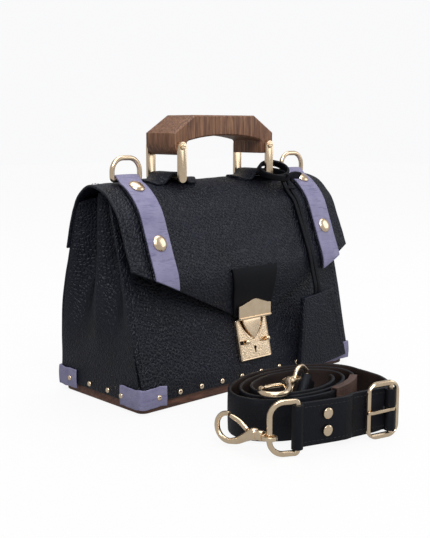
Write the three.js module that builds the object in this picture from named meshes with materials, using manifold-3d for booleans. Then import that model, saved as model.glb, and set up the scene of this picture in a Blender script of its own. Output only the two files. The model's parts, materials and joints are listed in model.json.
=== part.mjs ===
// A small structured satchel: black leather body nailed to a walnut base board, a pointed flap with a
// sliding-catch lock, a walnut handle on two swinging brass brackets, and a coiled shoulder strap.
// Millimetres. Origin at the centre of the base board's underside, +Z up, the front faces -Y.
import * as THREE from 'three';
import { mergeVertices } from 'three/addons/utils/BufferGeometryUtils.js';
import Module from 'manifold-3d';

const wasm = await Module();
wasm.setup();

// ---- driving dimensions ----
const GAP = 0.3;
const BOARD = { width: 238, depth: 103, height: 20, corner: 7 };
const LEATHER = 2;
const LEATHER_FOOT = 8;
const FRONT_LEAN = 0.2355;
const FRONT_TOP = 158;
const BODY_HALF = 121;
const FLAP_HALF = 123.6;
const FLAP_CORNER_Z = 109.7;
const FLAP_TIP = { half: 20, z: 63 };
const HINGE = { y: 29, z: 150 };
const NAIL = { z: 12, head: 2.2, shank: 0.6, rise: 1.3 };
const STRIP = { height: 1.6, depth: 0.8, groove: 2.4, grooveDepth: 1.5 };
const PATCH = { low: 5, high: 20, thickness: 1.3, side: 26 };
const TRIM = { x: 95, width: 22, thickness: 1.6, low: 68 };
const RING = { y: -5, z: 174.9, wire: 2, legs: 26.8, rise: 16.8 };
const BRACKET = { x: 50, pivotZ: 175.2, screwZ: 199.7, inner: 18.5, thickness: 2.5, width: 8, rod: 2 };
const HANDLE = { end: 57, top: 225, topHalf: 34, shoulder: 210.5, foot: 193, grip: 208.5, depth: 18 };
const LOCK = { half: 17.5, low: 24, high: 57.5, thickness: 3.2, lean: Math.atan(FRONT_LEAN) };
const SLIDE = { z: 38.5, knob: 2.3, right: 14.6, left: -9.2 };
const STRAP = { width: 30, thickness: 2.6, lift: 5 };
const COIL = { x: -46, y: -141, outerX: 63, outerY: 40, innerX: 35, innerY: 22, turns: 3, low: 1.6 };
const FRAME = { height: 39, wire: 3.6, length: 21 };
const SHORT_START = { x: -97, y: -189 };
const BUCKLE = { x: -20, y: -206.6, z: 20.6, centre: -6.7, width: 28, height: 41, rail: 3, wire: 3.4 };

const BOARD_FRONT = -BOARD.depth / 2;
const BOARD_BACK = BOARD.depth / 2;
const BOARD_SIDE = BOARD.width / 2;
const SKIN_FRONT = BOARD_FRONT - GAP - LEATHER;
const SKIN_BACK = BOARD_BACK + GAP + LEATHER;
const SKIN_SIDE = BOARD_SIDE + GAP + LEATHER;

const root = new THREE.Group();

// ---- materials ----
const finish = (color, roughness, metalness) =>
  new THREE.MeshStandardMaterial({ color, roughness, metalness });
const leather = () => finish(0x1b1b21, 0.55, 0);
const lavender = () => finish(0x8f8bb4, 0.6, 0);
const walnut = () => finish(0x80583f, 0.6, 0);
const brass = () => finish(0xe3c79b, 0.25, 0.9);
const brown = () => finish(0x4a2f25, 0.65, 0);

// ---- helpers ----
// A closed geometry as a solid that can be joined or cut.
function solid(geometry) {
  const bare = geometry.clone();
  bare.deleteAttribute('normal');
  bare.deleteAttribute('uv');
  const merged = mergeVertices(bare, 1e-4);
  return new wasm.Manifold(new wasm.Mesh({
    numProp: 3,
    vertProperties: new Float32Array(merged.attributes.position.array),
    triVerts: new Uint32Array(merged.index.array),
  }));
}

function toGeometry(manifold) {
  const mesh = manifold.getMesh();
  const geometry = new THREE.BufferGeometry();
  geometry.setAttribute('position', new THREE.BufferAttribute(new Float32Array(mesh.vertProperties), 3));
  geometry.setIndex(new THREE.BufferAttribute(new Uint32Array(mesh.triVerts), 1));
  const flat = geometry.toNonIndexed();
  flat.computeVertexNormals();
  return flat;
}

const join = (first, ...rest) =>
  toGeometry(rest.reduce((sum, next) => sum.add(solid(next)), solid(first)));
const cut = (first, ...rest) =>
  toGeometry(rest.reduce((left, next) => left.subtract(solid(next)), solid(first)));
const common = (first, second) => toGeometry(solid(first).intersect(solid(second)));

function add(name, geometry, material, parent = root) {
  const mesh = new THREE.Mesh(geometry, material);
  mesh.name = name;
  parent.add(mesh);
  return mesh;
}

const extrude = (shape, depth, bevel = 0) =>
  new THREE.ExtrudeGeometry(shape, {
    depth: depth - 2 * bevel,
    bevelEnabled: bevel > 0,
    bevelThickness: bevel,
    bevelSize: bevel,
    bevelOffset: -bevel,
    bevelSegments: 1,
    curveSegments: 6,
  }).translate(0, 0, bevel - depth / 2);

// A side profile drawn as (y, z), as wide as asked along X and centred on x.
function acrossX(shape, width, x = 0, bevel = 0) {
  const basis = new THREE.Matrix4().makeBasis(
    new THREE.Vector3(0, 1, 0), new THREE.Vector3(0, 0, 1), new THREE.Vector3(1, 0, 0));
  return extrude(shape, width, bevel).applyMatrix4(basis).translate(x, 0, 0);
}

// A front outline drawn as (x, z), as deep as asked along Y and centred on y.
function acrossY(shape, depth, y = 0, bevel = 0) {
  const basis = new THREE.Matrix4().makeBasis(
    new THREE.Vector3(1, 0, 0), new THREE.Vector3(0, 0, 1), new THREE.Vector3(0, -1, 0));
  return extrude(shape, depth, bevel).applyMatrix4(basis).translate(0, y, 0);
}

// A plan outline drawn as (x, y), standing from low to high.
const acrossZ = (shape, low, high, bevel = 0) =>
  extrude(shape, high - low, bevel).translate(0, 0, (low + high) / 2);

const polygon = (points) => new THREE.Shape(points.map(([a, b]) => new THREE.Vector2(a, b)));
const box = (sx, sy, sz, x, y, z) => new THREE.BoxGeometry(sx, sy, sz).translate(x, y, z);

function rod(radius, length, axis, x, y, z, sides = 16) {
  const geometry = new THREE.CylinderGeometry(radius, radius, length, sides);
  if (axis === 'x') geometry.rotateZ(Math.PI / 2);
  if (axis === 'z') geometry.rotateX(Math.PI / 2);
  return geometry.translate(x, y, z);
}

function roundedRectangle(width, height, radius) {
  const [w, h] = [width / 2, height / 2];
  const shape = new THREE.Shape();
  shape.moveTo(-w + radius, -h);
  shape.lineTo(w - radius, -h);
  shape.absarc(w - radius, -h + radius, radius, -Math.PI / 2, 0);
  shape.lineTo(w, h - radius);
  shape.absarc(w - radius, h - radius, radius, 0, Math.PI / 2);
  shape.lineTo(-w + radius, h);
  shape.absarc(-w + radius, h - radius, radius, Math.PI / 2, Math.PI);
  shape.lineTo(-w, -h + radius);
  shape.absarc(-w + radius, -h + radius, radius, Math.PI, 1.5 * Math.PI);
  return shape;
}

// Unit normals on the left of each point of a line, mitred so that an offset keeps its distance.
function mitres(points) {
  const turned = (a, b) => {
    const d = b.clone().sub(a).normalize();
    return new THREE.Vector2(-d.y, d.x);
  };
  return points.map((point, i) => {
    const before = turned(points[Math.max(i - 1, 0)], points[Math.max(i, 1)]);
    const last = points.length - 1;
    const after = turned(points[Math.min(i, last - 1)], points[Math.min(i + 1, last)]);
    return before.clone().add(after).divideScalar(1 + before.dot(after));
  });
}

const offset = (points, distance) => {
  const normals = mitres(points);
  return points.map((point, i) => point.clone().addScaledVector(normals[i], distance));
};

// A sheet between a line and its copy offset to the left by the thickness.
const sheet = (points, thickness) =>
  new THREE.Shape([...points, ...offset(points, thickness).reverse()]);

const spline = (pairs, count) =>
  new THREE.SplineCurve(pairs.map(([a, b]) => new THREE.Vector2(a, b))).getPoints(count);

// ---- the side profile of the flap's outer face, from the rear hem over the top to the front tip ----
const REAR_LINE = spline([[38.5, 120], [34.4, 135], [HINGE.y, HINGE.z]], 6);
const FLAP_LINE = spline([
  [HINGE.y - 0.22, HINGE.z + 0.5], [22, 162], [11, 170.3], [0, 172.4], [-13, 168.6], [-23.7, 161],
  [-32.6, 150], [-38.8, 135], [-45.3, 118], [-51.5, 102], [-52.4, 90], [-50, 76], [-48.2, 60],
], 44);

// Height of the flap's outer face above a place near its top.
function flapTop(y) {
  const i = FLAP_LINE.findIndex((point) => point.y > 155 && point.x <= y);
  const [a, b] = [FLAP_LINE[i - 1], FLAP_LINE[i]];
  return THREE.MathUtils.mapLinear(y, a.x, b.x, a.y, b.y);
}

// The stretch of the flap's front face between two heights, lifted clear of the leather.
// Left of a line that runs forwards and down is its inner side, so a lift is a negative offset.
function flapFront(high, low, lift) {
  const lifted = offset(FLAP_LINE, -lift);
  return lifted.filter((point, i) => FLAP_LINE[i].x < -8 && point.y <= high && point.y >= low);
}

// Place and outward tilt of the flap's front face at a height.
function flapSpot(z, lift) {
  const lifted = offset(FLAP_LINE, -lift);
  const i = lifted.findIndex((point) => point.x < -8 && point.y <= z);
  const [a, b] = [lifted[i - 1], lifted[i]];
  const y = THREE.MathUtils.mapLinear(z, a.y, b.y, a.x, b.x);
  return { y, z, tilt: Math.atan2(a.y - b.y, a.x - b.x) };
}

// Everything above the flap's pointed lower edge.
function flapOutline(half) {
  const slope = (FLAP_CORNER_Z - FLAP_TIP.z) / (FLAP_HALF - FLAP_TIP.half);
  const z = FLAP_CORNER_Z - slope * (FLAP_HALF - half);
  return polygon([
    [-half, 240], [-half, z], [-FLAP_TIP.half, FLAP_TIP.z],
    [FLAP_TIP.half, FLAP_TIP.z], [half, z], [half, 240],
  ]);
}
const trimToFlap = (geometry) => common(geometry, acrossY(flapOutline(FLAP_HALF), 150, -10));

// ---- base board ----
const nailXs = (first, last) =>
  Array.from({ length: 10 }, (_, i) => THREE.MathUtils.lerp(first, last, i / 9));
const NAILS = {
  front: nailXs(-105, 97),
  rear: nailXs(-105, 105),
  side: [38, 12.4, -12.2, -31.5],
};

// The grooves that the nail strips lie in, around the board.
function baseBoard() {
  const outline = roundedRectangle(BOARD.width, BOARD.depth, BOARD.corner);
  const blank = acrossZ(outline, 0, BOARD.height, 0.8);
  const { groove, grooveDepth } = STRIP;
  return cut(
    blank,
    box(222, 2 * grooveDepth, groove, 0, BOARD_FRONT, NAIL.z),
    box(222, 2 * grooveDepth, groove, 0, BOARD_BACK, NAIL.z),
    box(2 * grooveDepth, 86, groove, -BOARD_SIDE, 0, NAIL.z),
    box(2 * grooveDepth, 86, groove, BOARD_SIDE, 0, NAIL.z),
  );
}

// A nail seen with its head towards +Z and its root at the origin.
function nail(reach) {
  const { head, shank, rise } = NAIL;
  const profile = [[0, 0], [shank, 0], [shank, reach], [head, reach], [head * 0.8, reach + rise * 0.7]];
  const points = [...profile, [0, reach + rise]].map(([r, z]) => new THREE.Vector2(r, z));
  return new THREE.LatheGeometry(points, 8).rotateX(Math.PI / 2);
}

// A row of nails along local X on one strip. Their heads stand on the leather, or on a patch over it.
function nailRow(places, onPatch) {
  const middle = (places[0] + places[places.length - 1]) / 2;
  const length = Math.abs(places[places.length - 1] - places[0]) + 3;
  const strip = box(length, STRIP.height, STRIP.depth, middle, 0, -STRIP.depth / 2);
  const reach = STRIP.grooveDepth + GAP * 2 + LEATHER - 0.7;
  const nails = places.map((x, i) =>
    nail(onPatch(i) ? reach + PATCH.thickness + GAP : reach).translate(x, 0, -0.2));
  return join(strip, ...nails);
}

function addNails() {
  const inset = STRIP.grooveDepth - STRIP.depth - 0.1;
  const ends = (i) => i === 0 || i === 9;
  const sideEnds = (i) => i === 0 || i === 3;
  const front = add('nails_front', nailRow(NAILS.front, ends), brass());
  front.position.set(0, BOARD_FRONT + inset, NAIL.z);
  front.rotation.x = Math.PI / 2;
  const rear = add('nails_rear', nailRow(NAILS.rear, ends), brass());
  rear.position.set(0, BOARD_BACK - inset, NAIL.z);
  rear.rotation.x = -Math.PI / 2;
  for (const [name, side] of [['nails_left', -1], ['nails_right', 1]]) {
    const places = NAILS.side.map((y) => y * side);
    const row = add(name, nailRow(places, sideEnds), brass());
    row.position.set(side * (BOARD_SIDE - inset), 0, NAIL.z);
    row.rotation.set(Math.PI / 2, 0, 0);
    row.rotation.order = 'ZXY';
    row.rotation.z = side * Math.PI / 2;
  }
}

// The holes that the nails pass through on each face.
const nailHole = (axis, x, y) => rod(NAIL.shank + GAP, 8, axis, x, y, NAIL.z, 8);
const frontHoles = () => NAILS.front.map((x) => nailHole('y', x, SKIN_FRONT));
const rearHoles = () => NAILS.rear.map((x) => nailHole('y', x, SKIN_BACK));
const sideHoles = (side) => NAILS.side.map((y) => nailHole('x', side * SKIN_SIDE, y));

// ---- body panels ----
const frontY = (z) => SKIN_FRONT + Math.max(0, z - BOARD.height) * FRONT_LEAN;
const REAR_PANEL = [[SKIN_BACK, LEATHER_FOOT], [SKIN_BACK, BOARD.height]];
const REAR_BEND = spline([
  [53.5, 25], [50.6, 55], [46.2, 85], [36, 120], [31.8, 135], [26.3, 150], [22.2, 157],
], 12);

function frontPanel() {
  const line = [[SKIN_FRONT, LEATHER_FOOT], [SKIN_FRONT, BOARD.height], [frontY(FRONT_TOP), FRONT_TOP]]
    .map(([y, z]) => new THREE.Vector2(y, z)).reverse();
  const blank = acrossX(sheet(line, LEATHER), 2 * BODY_HALF);
  return cut(blank, ...frontHoles(), ...lockHoles());
}

function rearPoints() {
  const foot = REAR_PANEL.map(([y, z]) => new THREE.Vector2(y, z));
  return [...foot, ...REAR_BEND];
}

function rearY(z) {
  const line = rearPoints();
  const i = Math.max(1, line.findIndex((point) => point.y >= z));
  const [a, b] = [line[i - 1], line[i]];
  return THREE.MathUtils.mapLinear(z, a.y, b.y, a.x, b.x);
}

const rearPanel = () => cut(acrossX(sheet(rearPoints(), LEATHER), 2 * BODY_HALF), ...rearHoles());

// One end wall: flat on the board, folding inwards into two pleats with a ridge between them.
function gusset(side) {
  const [low, high, thickness] = [LEATHER_FOOT, 156, 1.8];
  const blank = new THREE.BoxGeometry(1, 2, high - low, 1, 16, 10).translate(0, 0, (high + low) / 2);
  const place = blank.attributes.position;
  for (let i = 0; i < place.count; i += 1) {
    const [t, w, z] = [place.getX(i) + 0.5, place.getY(i), place.getZ(i)];
    const near = frontY(z) + LEATHER + GAP + 0.35;
    const far = rearY(z) - LEATHER - GAP - 0.15;
    const fold = 15 * THREE.MathUtils.smoothstep(z, 26, 130);
    const inwards = fold * (Math.sin(Math.PI * w) ** 2 + 0.3 * (1 - w * w));
    const x = SKIN_SIDE - inwards - thickness * (1 - t);
    place.setXYZ(i, side * x, THREE.MathUtils.mapLinear(w, -1, 1, near, far), z);
  }
  return side > 0 ? blank : flipped(blank);
}

// The same surface with its faces turned round, after a mirroring.
function flipped(geometry) {
  const index = geometry.index.array;
  for (let i = 0; i < index.length; i += 3) [index[i], index[i + 1]] = [index[i + 1], index[i]];
  return geometry;
}

// A lavender patch folded round a bottom corner: an L in plan with a round outer corner.
function cornerPatch(sideX, sideY, reachX) {
  const inner = { x: SKIN_SIDE + GAP, y: SKIN_BACK + GAP };
  const t = PATCH.thickness;
  const r = 0.9;
  const shape = new THREE.Shape();
  shape.moveTo(inner.x - reachX, inner.y + t);
  shape.lineTo(inner.x - reachX, inner.y);
  shape.lineTo(inner.x - r, inner.y);
  shape.absarc(inner.x - r, inner.y - r, r, Math.PI / 2, 0, true);
  shape.lineTo(inner.x, inner.y - PATCH.side);
  shape.lineTo(inner.x + t, inner.y - PATCH.side);
  shape.lineTo(inner.x + t, inner.y - r);
  shape.absarc(inner.x - r, inner.y - r, r + t, 0, Math.PI / 2, false);
  const blank = acrossZ(shape, PATCH.low, PATCH.high);
  blank.scale(sideX, sideY, 1);
  const turned = sideX * sideY < 0 ? turnFaces(blank) : blank;
  const faceHoles = sideY < 0 ? frontHoles() : rearHoles();
  return cut(turned, ...faceHoles, ...sideHoles(sideX));
}

// Swap two corners of every triangle, for a geometry without an index.
function turnFaces(geometry) {
  const place = geometry.attributes.position.array;
  for (let i = 0; i < place.length; i += 9) {
    for (let k = 0; k < 3; k += 1) [place[i + k], place[i + 3 + k]] = [place[i + 3 + k], place[i + k]];
  }
  return geometry;
}

function addShell() {
  add('base_board', baseBoard(), walnut());
  add('front_panel', frontPanel(), leather());
  add('rear_panel', rearPanel(), leather());
  add('gusset_left', cut(gusset(-1), ...sideHoles(-1)), leather());
  add('gusset_right', cut(gusset(1), ...sideHoles(1)), leather());
  add('corner_patch_front_left', cornerPatch(-1, -1, 26), lavender());
  add('corner_patch_front_right', cornerPatch(1, -1, 33), lavender());
  add('corner_patch_rear_left', cornerPatch(-1, 1, 26), lavender());
  add('corner_patch_rear_right', cornerPatch(1, 1, 26), lavender());
  addNails();
  add('flap_rear', acrossX(sheet(REAR_LINE, LEATHER), 2 * FLAP_HALF), leather());
}

// ---- lock on the front panel, built flat and then leant with the panel ----
// Local frame: x across, y up the plate from its lower edge, z outwards from the panel.
const lockTurn = (geometry) => {
  geometry.rotateX(Math.PI / 2 - LOCK.lean);
  return geometry.translate(0, frontY(LOCK.low) - GAP, LOCK.low);
};
const LOCK_HEIGHT = (LOCK.high - LOCK.low) / Math.cos(LOCK.lean);
const slideHeight = (SLIDE.z - LOCK.low) / Math.cos(LOCK.lean);

// The shield that the tongue fills, grown all round by the clearance.
function shield(half, top, tip) {
  const shape = new THREE.Shape();
  shape.moveTo(-half, top);
  shape.quadraticCurveTo(-half, (top + tip) / 2, 0, tip);
  shape.quadraticCurveTo(half, (top + tip) / 2, half, top);
  return shape;
}

function lockPlate() {
  const t = LOCK.thickness;
  const half = LOCK.half;
  const shape = roundedRectangle(2 * half, LOCK_HEIGHT, 1.2);
  const plate = extrude(shape, t, 0.4).translate(0, LOCK_HEIGHT / 2, t / 2);
  const recess = extrude(shield(14.5, LOCK_HEIGHT + 2, 16), 4).translate(0, 0, 1.2 + 2);
  const slotRight = box(SLIDE.right - 6, 3, 8, (SLIDE.right + 6) / 2, slideHeight, 2);
  const slotLeft = box(8.8, 3, 8, -12.2, slideHeight, 2);
  const slotEnd = rod(1.5, 8, 'z', SLIDE.right, slideHeight, 2, 12);
  const pocket = box(33, 4.4, 1.4, 0, slideHeight, 0.2);
  const keyRound = rod(1.6, 10, 'z', 0, 9.4, 2, 14);
  const keySlot = box(1.5, 4, 10, 0, 7.2, 2);
  return lockTurn(cut(plate, recess, slotRight, slotEnd, slotLeft, pocket, keyRound, keySlot));
}

// The catch bar behind the plate with its two studs standing through the slots, at its locked end.
function catchBar() {
  const { knob } = SLIDE;
  const bar = box(26.3, 2.8, 0.7, 2.65, slideHeight, 0.45);
  const profile = [[0, 0], [1.1, 0], [1.1, 3.2], [1.9, 3.7], [knob, 4.6], [1.9, 5.6], [1, 6.1], [0, 6.3]];
  const points = profile.map(([r, z]) => new THREE.Vector2(r, z));
  const studs = [SLIDE.right, SLIDE.left].map((x) => {
    const geometry = new THREE.LatheGeometry(points, 12).rotateX(Math.PI / 2);
    return geometry.translate(x, slideHeight, 0.6);
  });
  return lockTurn(join(bar, ...studs));
}

const lockHoles = () => [lockTurn(rod(2.2, 8, 'z', 0, 9.4, 0, 12))];

function addLock() {
  add('lock_plate', lockPlate(), brass());
  const back = lockTurn(box(30, 26, 1.2, 0, 15, -LEATHER - 1.2 - GAP));
  add('lock_back_plate', back, brass());
  add('catch_bar', catchBar(), brass());
}

// ---- flap ----
const rivetHole = (x, spot) => {
  const hole = rod(1.9, 16, 'z', 0, 0, 0, 12);
  hole.rotateX(spot.tilt);
  return hole.translate(x, spot.y, spot.z);
};
const RIVET_SPOTS = [flapSpot(166.8, 0), flapSpot(127, 0)];
const trimHoles = (x) => RIVET_SPOTS.map((spot) => rivetHole(x, spot));

function flapSheet() {
  const blank = acrossX(sheet(FLAP_LINE.map((p) => p.clone()), LEATHER), 2 * FLAP_HALF);
  const holes = [...trimHoles(-TRIM.x), ...trimHoles(TRIM.x)];
  return cut(trimToFlap(blank), ...holes);
}

function lockTab() {
  const line = flapFront(104, 61, GAP + 1.8);
  const blank = acrossX(sheet(line, 1.8), 70);
  const outline = polygon([[-27, 110], [-21, 50], [21, 50], [27, 110]]);
  return common(blank, acrossY(outline, 60, -50));
}

// The hasp plate with its peaked top, and the tongue below it that drops into the lock's recess.
const HASP_Y = -53.2;
function haspPlate() {
  const shape = polygon([
    [-18.5, 0], [18.5, 0], [18.5, 11.6], [15, 12.2], [4, 15.8],
    [0, 16.6], [-4, 15.8], [-15, 12.2], [-18.5, 11.6],
  ]);
  const plate = extrude(shape, 1.8, 0.4);
  plate.rotateX(Math.PI / 2);
  return plate.translate(0, HASP_Y, 58.6);
}

function haspTongue() {
  const tongue = extrude(shield(10.5, 17.6, 0), 1.4, 0.3);
  tongue.rotateX(Math.PI / 2 - LOCK.lean);
  return tongue.translate(0, HASP_Y + 0.1, 41.2);
}

// ---- lavender trims, their black backings and rivets ----
function trimBacking(x) {
  const line = flapFront(170.4, TRIM.low, GAP + TRIM.thickness);
  const strip = trimToFlap(acrossX(sheet(line, TRIM.thickness), TRIM.width + 1.6, x));
  return cut(strip, ...trimHoles(x));
}

function trim(x) {
  const lift = 2 * (GAP + TRIM.thickness);
  const arc = Array.from({ length: 11 }, (_, i) => {
    const angle = THREE.MathUtils.lerp(-0.1, 1.1, i / 10) * Math.PI;
    return new THREE.Vector2(RING.y + 3.9 * Math.cos(angle), RING.z + 3.9 * Math.sin(angle));
  });
  const along = flapFront(173.2, TRIM.low, lift);
  const line = [...arc, ...along];
  const strip = trimToFlap(acrossX(sheet(line, TRIM.thickness), TRIM.width, x));
  return cut(strip, ...trimHoles(x));
}

// A domed rivet through both strap layers and the flap, made standing on the trim and then tilted.
function trimRivet(x, spot) {
  const above = 2 * (GAP + TRIM.thickness) + GAP;
  const below = -LEATHER - GAP;
  const profile = [
    [0, below - 1], [4, below - 1], [4, below], [1.5, below], [1.5, above], [6.4, above],
    [6.4, above + 0.9], [5, above + 1.8], [2.6, above + 2.3], [0, above + 2.4],
  ];
  const points = profile.map(([r, z]) => new THREE.Vector2(r, z));
  const geometry = new THREE.LatheGeometry(points, 16).rotateX(Math.PI / 2);
  geometry.rotateX(spot.tilt);
  return geometry.translate(x, spot.y, spot.z);
}

// A standing D-ring: straight bar in the leather loop, two legs and a round top, drawn as (x, z).
function dRing(x) {
  const { wire, legs, rise, y, z } = RING;
  const frameOutline = (grow, Path) => {
    const half = legs / 2 + grow;
    const corner = 9 + grow;
    const shape = new Path();
    shape.moveTo(-half, -grow);
    shape.lineTo(half, -grow);
    shape.lineTo(half, rise + grow - corner);
    shape.absarc(half - corner, rise + grow - corner, corner, 0, Math.PI / 2);
    shape.absarc(-half + corner, rise + grow - corner, corner, Math.PI / 2, Math.PI);
    shape.lineTo(-half, -grow);
    return shape;
  };
  const shape = frameOutline(wire, THREE.Shape);
  shape.holes.push(frameOutline(-wire, THREE.Path));
  return acrossY(shape, 2 * wire, 0, wire * 0.55).translate(x, y, z);
}

// ---- handle tabs, brackets and handle ----
// A leather tab over a bracket's rod: flat with pointed ends, humped in the middle.
function handleTab(x) {
  const [length, halfWidth, thickness] = [58, 13, 1.8];
  const blank = new THREE.BoxGeometry(length, 2, 1, 22, 6, 1);
  const place = blank.attributes.position;
  for (let i = 0; i < place.count; i += 1) {
    const [along, w, t] = [place.getX(i), place.getY(i), place.getZ(i) + 0.5];
    const taper = THREE.MathUtils.mapLinear(Math.max(Math.abs(along), 22), 22, length / 2, 1, 0.15);
    const y = w * halfWidth * taper;
    const hump = 1 - THREE.MathUtils.smoothstep(Math.abs(along), 3.4, 15);
    const rest = flapTop(y) + GAP;
    const over = BRACKET.pivotZ + BRACKET.rod + GAP + 0.1;
    place.setXYZ(i, x + along, y, THREE.MathUtils.lerp(rest, over, hump) + thickness * t);
  }
  return blank;
}

// A leg as a flat bar with round ends, standing in the XZ plane.
function bracketLeg(y) {
  const { width, pivotZ, screwZ, thickness } = BRACKET;
  const shape = roundedRectangle(width, screwZ - pivotZ + width, width / 2 - 0.4);
  return acrossY(shape, thickness, y).translate(0, 0, (screwZ + pivotZ) / 2);
}

function bracket() {
  const { inner, thickness, pivotZ, screwZ } = BRACKET;
  const legY = inner + thickness / 2;
  const bar = rod(BRACKET.rod, 2 * legY, 'y', 0, 0, pivotZ);
  const screwHole = rod(1.9, 60, 'y', 0, 0, screwZ, 14);
  return cut(join(bar, bracketLeg(-legY), bracketLeg(legY)), screwHole);
}

function handle() {
  const { end, top, topHalf, shoulder, foot, grip, depth } = HANDLE;
  const legInner = 42.5;
  const shape = new THREE.Shape();
  shape.moveTo(-end + 9, foot);
  shape.lineTo(-legInner, foot);
  shape.lineTo(-legInner, foot + 8.5);
  shape.quadraticCurveTo(-legInner, foot + 11, -legInner + 3, foot + 11.6);
  shape.quadraticCurveTo(-22, grip, 0, grip);
  shape.quadraticCurveTo(22, grip, legInner - 3, foot + 11.6);
  shape.quadraticCurveTo(legInner, foot + 11, legInner, foot + 8.5);
  shape.lineTo(legInner, foot);
  shape.lineTo(end - 9, foot);
  shape.quadraticCurveTo(end - 1.5, foot, end, foot + 9);
  shape.lineTo(end, shoulder);
  shape.lineTo(topHalf, top);
  shape.lineTo(-topHalf, top);
  shape.lineTo(-end, shoulder);
  shape.lineTo(-end, foot + 9);
  shape.quadraticCurveTo(-end + 1.5, foot, -end + 9, foot);
  const block = acrossY(shape, 2 * depth, 0, 1.2);
  const pilots = [-1, 1].flatMap((side) =>
    [-1, 1].map((face) => rod(1.4, 14, 'y', side * BRACKET.x, face * (depth - 1), BRACKET.screwZ, 12)));
  return cut(block, ...pilots);
}

// A slotted screw: shank into the handle, low head on the bracket leg.
function handleScrew(face) {
  const headBase = BRACKET.inner + BRACKET.thickness + GAP - 0.05;
  const reach = HANDLE.depth - 6;
  const profile = [
    [0, reach], [1.1, reach], [1.1, headBase],
    [2.6, headBase], [2.3, headBase + 0.8], [0, headBase + 1.1],
  ];
  const points = profile.map(([r, z]) => new THREE.Vector2(r, z));
  const screw = new THREE.LatheGeometry(points, 14);
  const slot = box(4.4, 1, 0.7, 0, headBase + 1.1, 0);
  const geometry = cut(screw, slot);
  return face > 0 ? geometry : geometry.rotateZ(Math.PI);
}

function addHandle() {
  for (const [word, side] of [['left', -1], ['right', 1]]) {
    const x = side * BRACKET.x;
    add(`handle_tab_${word}`, handleTab(side * 49.5), leather());
    add(`handle_bracket_${word}`, bracket(), brass()).position.x = x;
    for (const [place, face] of [['front', -1], ['rear', 1]]) {
      add(`handle_screw_${word}_${place}`, handleScrew(face), brass()).position.set(x, 0, BRACKET.screwZ);
    }
  }
  add('handle', handle(), walnut());
}

// ---- key holder hanging from the right bracket's foot ----
const CLOCHETTE = { x: 70, lean: 0.12, top: 72, low: 7, y: -60.4, thickness: 5.4 };

// An oval leather band round the bracket leg, tipped forwards over the flap's shoulder.
function clochetteLoop() {
  const oval = (grow, Path) => {
    const shape = new Path();
    shape.absellipse(0, 0, 15.8 + grow, 7.8 + grow, 0, 2 * Math.PI, false, 0);
    return shape;
  };
  const ring = oval(1.8, THREE.Shape);
  ring.holes.push(oval(0, THREE.Path));
  return extrude(ring, 5).rotateX(Math.PI / 4).translate(56.2, -19.2, 178);
}

function clochetteStrap() {
  const surface = flapFront(162.5, 100, 1 + 2.2);
  const last = surface[surface.length - 1];
  const tail = [[last.x - 2.6, last.y - 9], [CLOCHETTE.y - 0.9, 78], [CLOCHETTE.y - 0.9, 62]]
    .map(([y, z]) => new THREE.Vector2(y, z));
  return acrossX(sheet([...surface, ...tail], 2.2), 8, CLOCHETTE.x);
}

const clochetteSwing = (geometry) => {
  geometry.translate(0, 0, -CLOCHETTE.top);
  geometry.rotateY(-CLOCHETTE.lean);
  return geometry.translate(CLOCHETTE.x, 0, CLOCHETTE.top);
};

// The bell-shaped cover: two leather faces sewn at the sides, open above for the strap and below.
function clochetteCover() {
  const { top, low, y, thickness } = CLOCHETTE;
  const outer = polygon([[-31, low], [31, low], [19, top], [-19, top]]);
  const inner = polygon([[-28, low - 1], [28, low - 1], [16.2, top - 3], [-16.2, top - 3]]);
  const body = acrossY(outer, thickness, y, 0.6);
  const slot = box(10.4, thickness - 2.2, 20, 0, y, top);
  const pocket = acrossY(inner, thickness - 2.4, y);
  return clochetteSwing(cut(body, pocket, slot));
}

// A flat key below the strap's end, inside the cover.
function clochetteKey() {
  const bow = rod(7, 1.4, 'y', 0, CLOCHETTE.y, 48, 20);
  const stem = box(3.2, 1.4, 26, 0, CLOCHETTE.y, 30);
  const bit = box(7, 1.4, 6, 3, CLOCHETTE.y, 21);
  return clochetteSwing(cut(join(bow, stem, bit), rod(3, 6, 'y', 0, CLOCHETTE.y, 50, 16)));
}

function addFlap() {
  add('flap', flapSheet(), leather());
  add('lock_tab', lockTab(), leather());
  add('hasp_plate', haspPlate(), brass());
  add('hasp_tongue', haspTongue(), brass());
  for (const [word, side] of [['left', -1], ['right', 1]]) {
    const x = side * TRIM.x;
    add(`trim_backing_${word}`, trimBacking(x), leather());
    add(`trim_${word}`, trim(x), lavender());
    add(`trim_rivet_${word}_upper`, trimRivet(x, RIVET_SPOTS[0]), brass());
    add(`trim_rivet_${word}_lower`, trimRivet(x, RIVET_SPOTS[1]), brass());
    add(`d_ring_${word}`, dRing(x), brass());
  }
  addHandle();
  add('clochette_loop', clochetteLoop(), leather());
  add('clochette_strap', clochetteStrap(), leather());
  add('clochette_cover', clochetteCover(), leather());
  add('clochette_key', clochetteKey(), brass());
}

// ---- coiled shoulder strap ----
// A frame on the ground whose local +X runs out of a strap end and whose Z stays up before the pitch.
function strapFrame(x, y, z, angle, pitch = 0) {
  const group = new THREE.Group();
  group.position.set(x, y, z);
  group.rotation.order = 'ZYX';
  group.rotation.set(0, -pitch, angle);
  root.add(group);
  return group;
}

const coilAt = (turn) => {
  const angle = 2 * Math.PI * turn - 0.25;
  const a = THREE.MathUtils.lerp(COIL.outerX, COIL.innerX, turn / COIL.turns);
  const b = THREE.MathUtils.lerp(COIL.outerY, COIL.innerY, turn / COIL.turns);
  return new THREE.Vector2(COIL.x + a * Math.cos(angle), COIL.y + b * Math.sin(angle));
};
const coilPart = (from, to) => {
  const count = Math.round(26 * (to - from));
  return Array.from({ length: count + 1 }, (_, i) => coilAt(THREE.MathUtils.lerp(from, to, i / count)));
};

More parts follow.
